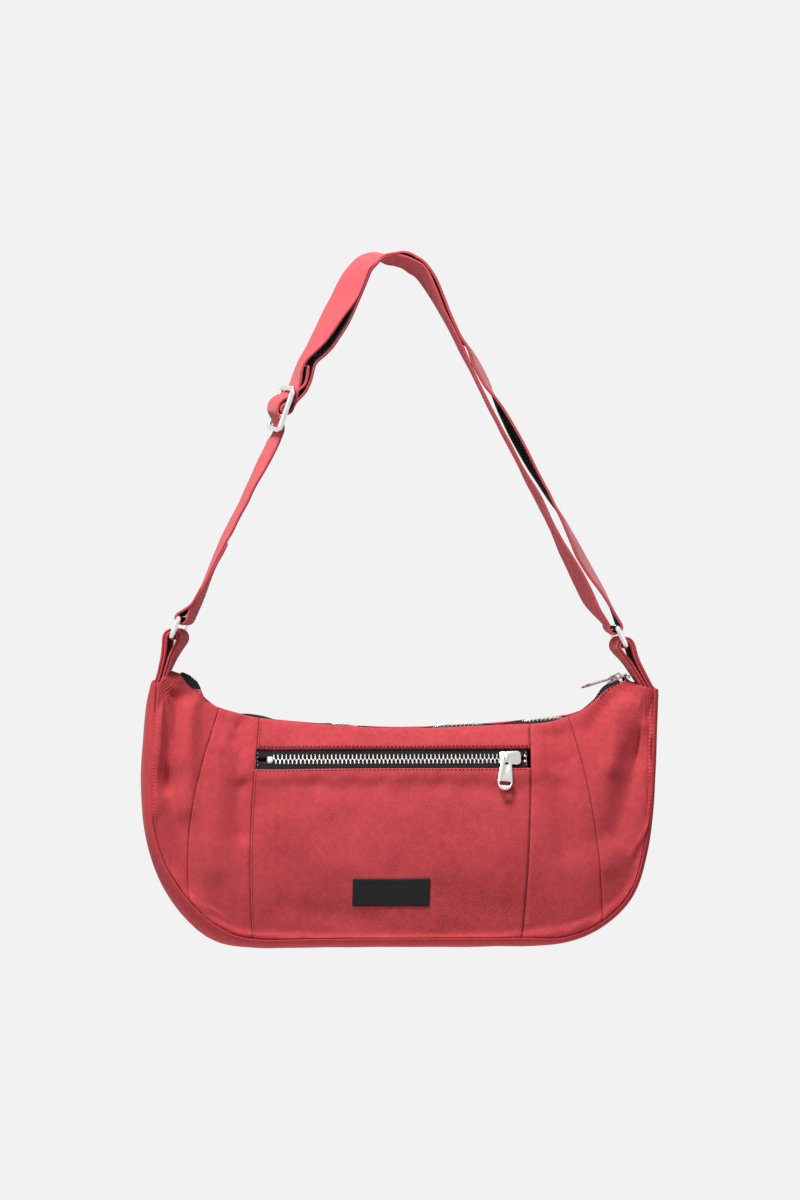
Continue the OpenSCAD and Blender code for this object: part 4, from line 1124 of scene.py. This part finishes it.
by_middle_bar = [by_adjuster(*p) for p in (
    (0.0085, -0.0083, 3), (0.0040, -0.0066, 5), (0, -0.0046), (-0.0028, -0.0022), (-0.0033, 0),
    (-0.0022, 0.0024), (0.0004, 0.0032), (0.0030, 0.0020), (0.0055, -0.0014), (0.0098, -0.0050),
    (BAR, -0.0066, 3))]
lower_route = turned_end + loop_round(upper_left, LOWER_LOOP_R, -5, -205, 8, -6, 153) + LOWER_RUN + woven
outer_route = woven[-2:] + OUTER_RUN + loop_round(upper_right, LOOP_R, 28, -80, 5)
inner_route = loop_round(upper_right, LOOP_R, -80, -196, 6) + INNER_RUN[::-1] + by_middle_bar \
    + [(-0.0708, -0.0944, 6), (-0.0691, -0.0886, 6), (-0.0688, -0.0812, 7)]

lower, outer, inner = (
    ribbon(name, route, STRAP_W, STRAP_T) for name, route in (
        ("strap_lower_cloth", lower_route), ("strap_outer_cloth", outer_route),
        ("strap_inner_cloth", inner_route)))
for piece, node in ((lower, "strap_lower_run"), (outer, "strap_outer_run"), (inner, "strap_inner_run")):
    piece.data.materials.append(strap_twill)
    piece.data.materials.append(strap_inside_painted_shade)
    # the inner shell of each strip takes the painted shade
    piece.modifiers["thickness"].material_offset = 1
    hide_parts(node)
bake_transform(lower)
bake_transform(outer)
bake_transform(inner)

# Tabs: each is a strip of the strap's twill folded round the lower bar of its ring, doubled, with
# its raw ends sewn into the corner of the bag. Seen from the edge its four layers fan apart.
TAB_FOLDS = {"tab_left": (-0.1736, -0.307), "tab_right": (0.180, -0.315)}
TAB_LAYER = 0.0016
# inner and outer strip: radius round the bar, distance from the middle half way down and at the foot
TAB_STRIPS = [(0.0042, 0.0015, 0.0011), (0.0061, 0.0036, 0.0031)]
# heights over the foot, the last ones below it inside the seam; then heights below the bar with the
# share of the way from the leg out to the arc
LEG_HEIGHTS = (0.015, 0.007, -0.002, -0.010)
NEAR_BAR = ((0.013, 0.12), (0.0085, 0.4), (0.004, 0.8))
tab_twill = twill_cloth("tab_twill", (0.52, 0.050, 0.064, 1), (0.80, 0.105, 0.125, 1), 0.2, strength=0.6)
for (name, foot), (_, _, centre, lean, yaw) in zip(TAB_FOLDS.items(), RINGS):
    eye = Vector(bar_at(centre, lean, -RING_BARS / 2))
    foot = Vector(foot)
    up = (eye - foot).normalized()
    across = Vector((up.y, -up.x))
    facing = math.degrees(math.atan2(across.y, across.x))
    length = (eye - foot).length
    for layer, (r, half_way, at_foot) in enumerate(TAB_STRIPS):
        def leg(hand):
            """One leg from the bar down to the foot."""
            points = []
            for below, f in NEAR_BAR[::-1]:
                s = length - below
                points.append((s, half_way + (r - half_way) * f, yaw * s / length))
            for s in LEG_HEIGHTS:
                share = max(0, min(1, s / length))
                points.append((s, at_foot + (half_way - at_foot) * min(1, share * 2), yaw * share))
            return [(*(foot + up * s + across * hand * off), turn, facing) for s, off, turn in points]

        route = leg(-1)[::-1] + loop_round(eye, r, facing + 180, facing, 8, yaw, facing) + leg(1)
        loop = ribbon(f"{name}_loop_{layer + 1}", route, STRAP_W - 0.001 * layer, TAB_LAYER, cell=0.0018)
        loop.data.materials.append(tab_twill)
        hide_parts(name)
        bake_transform(loop)
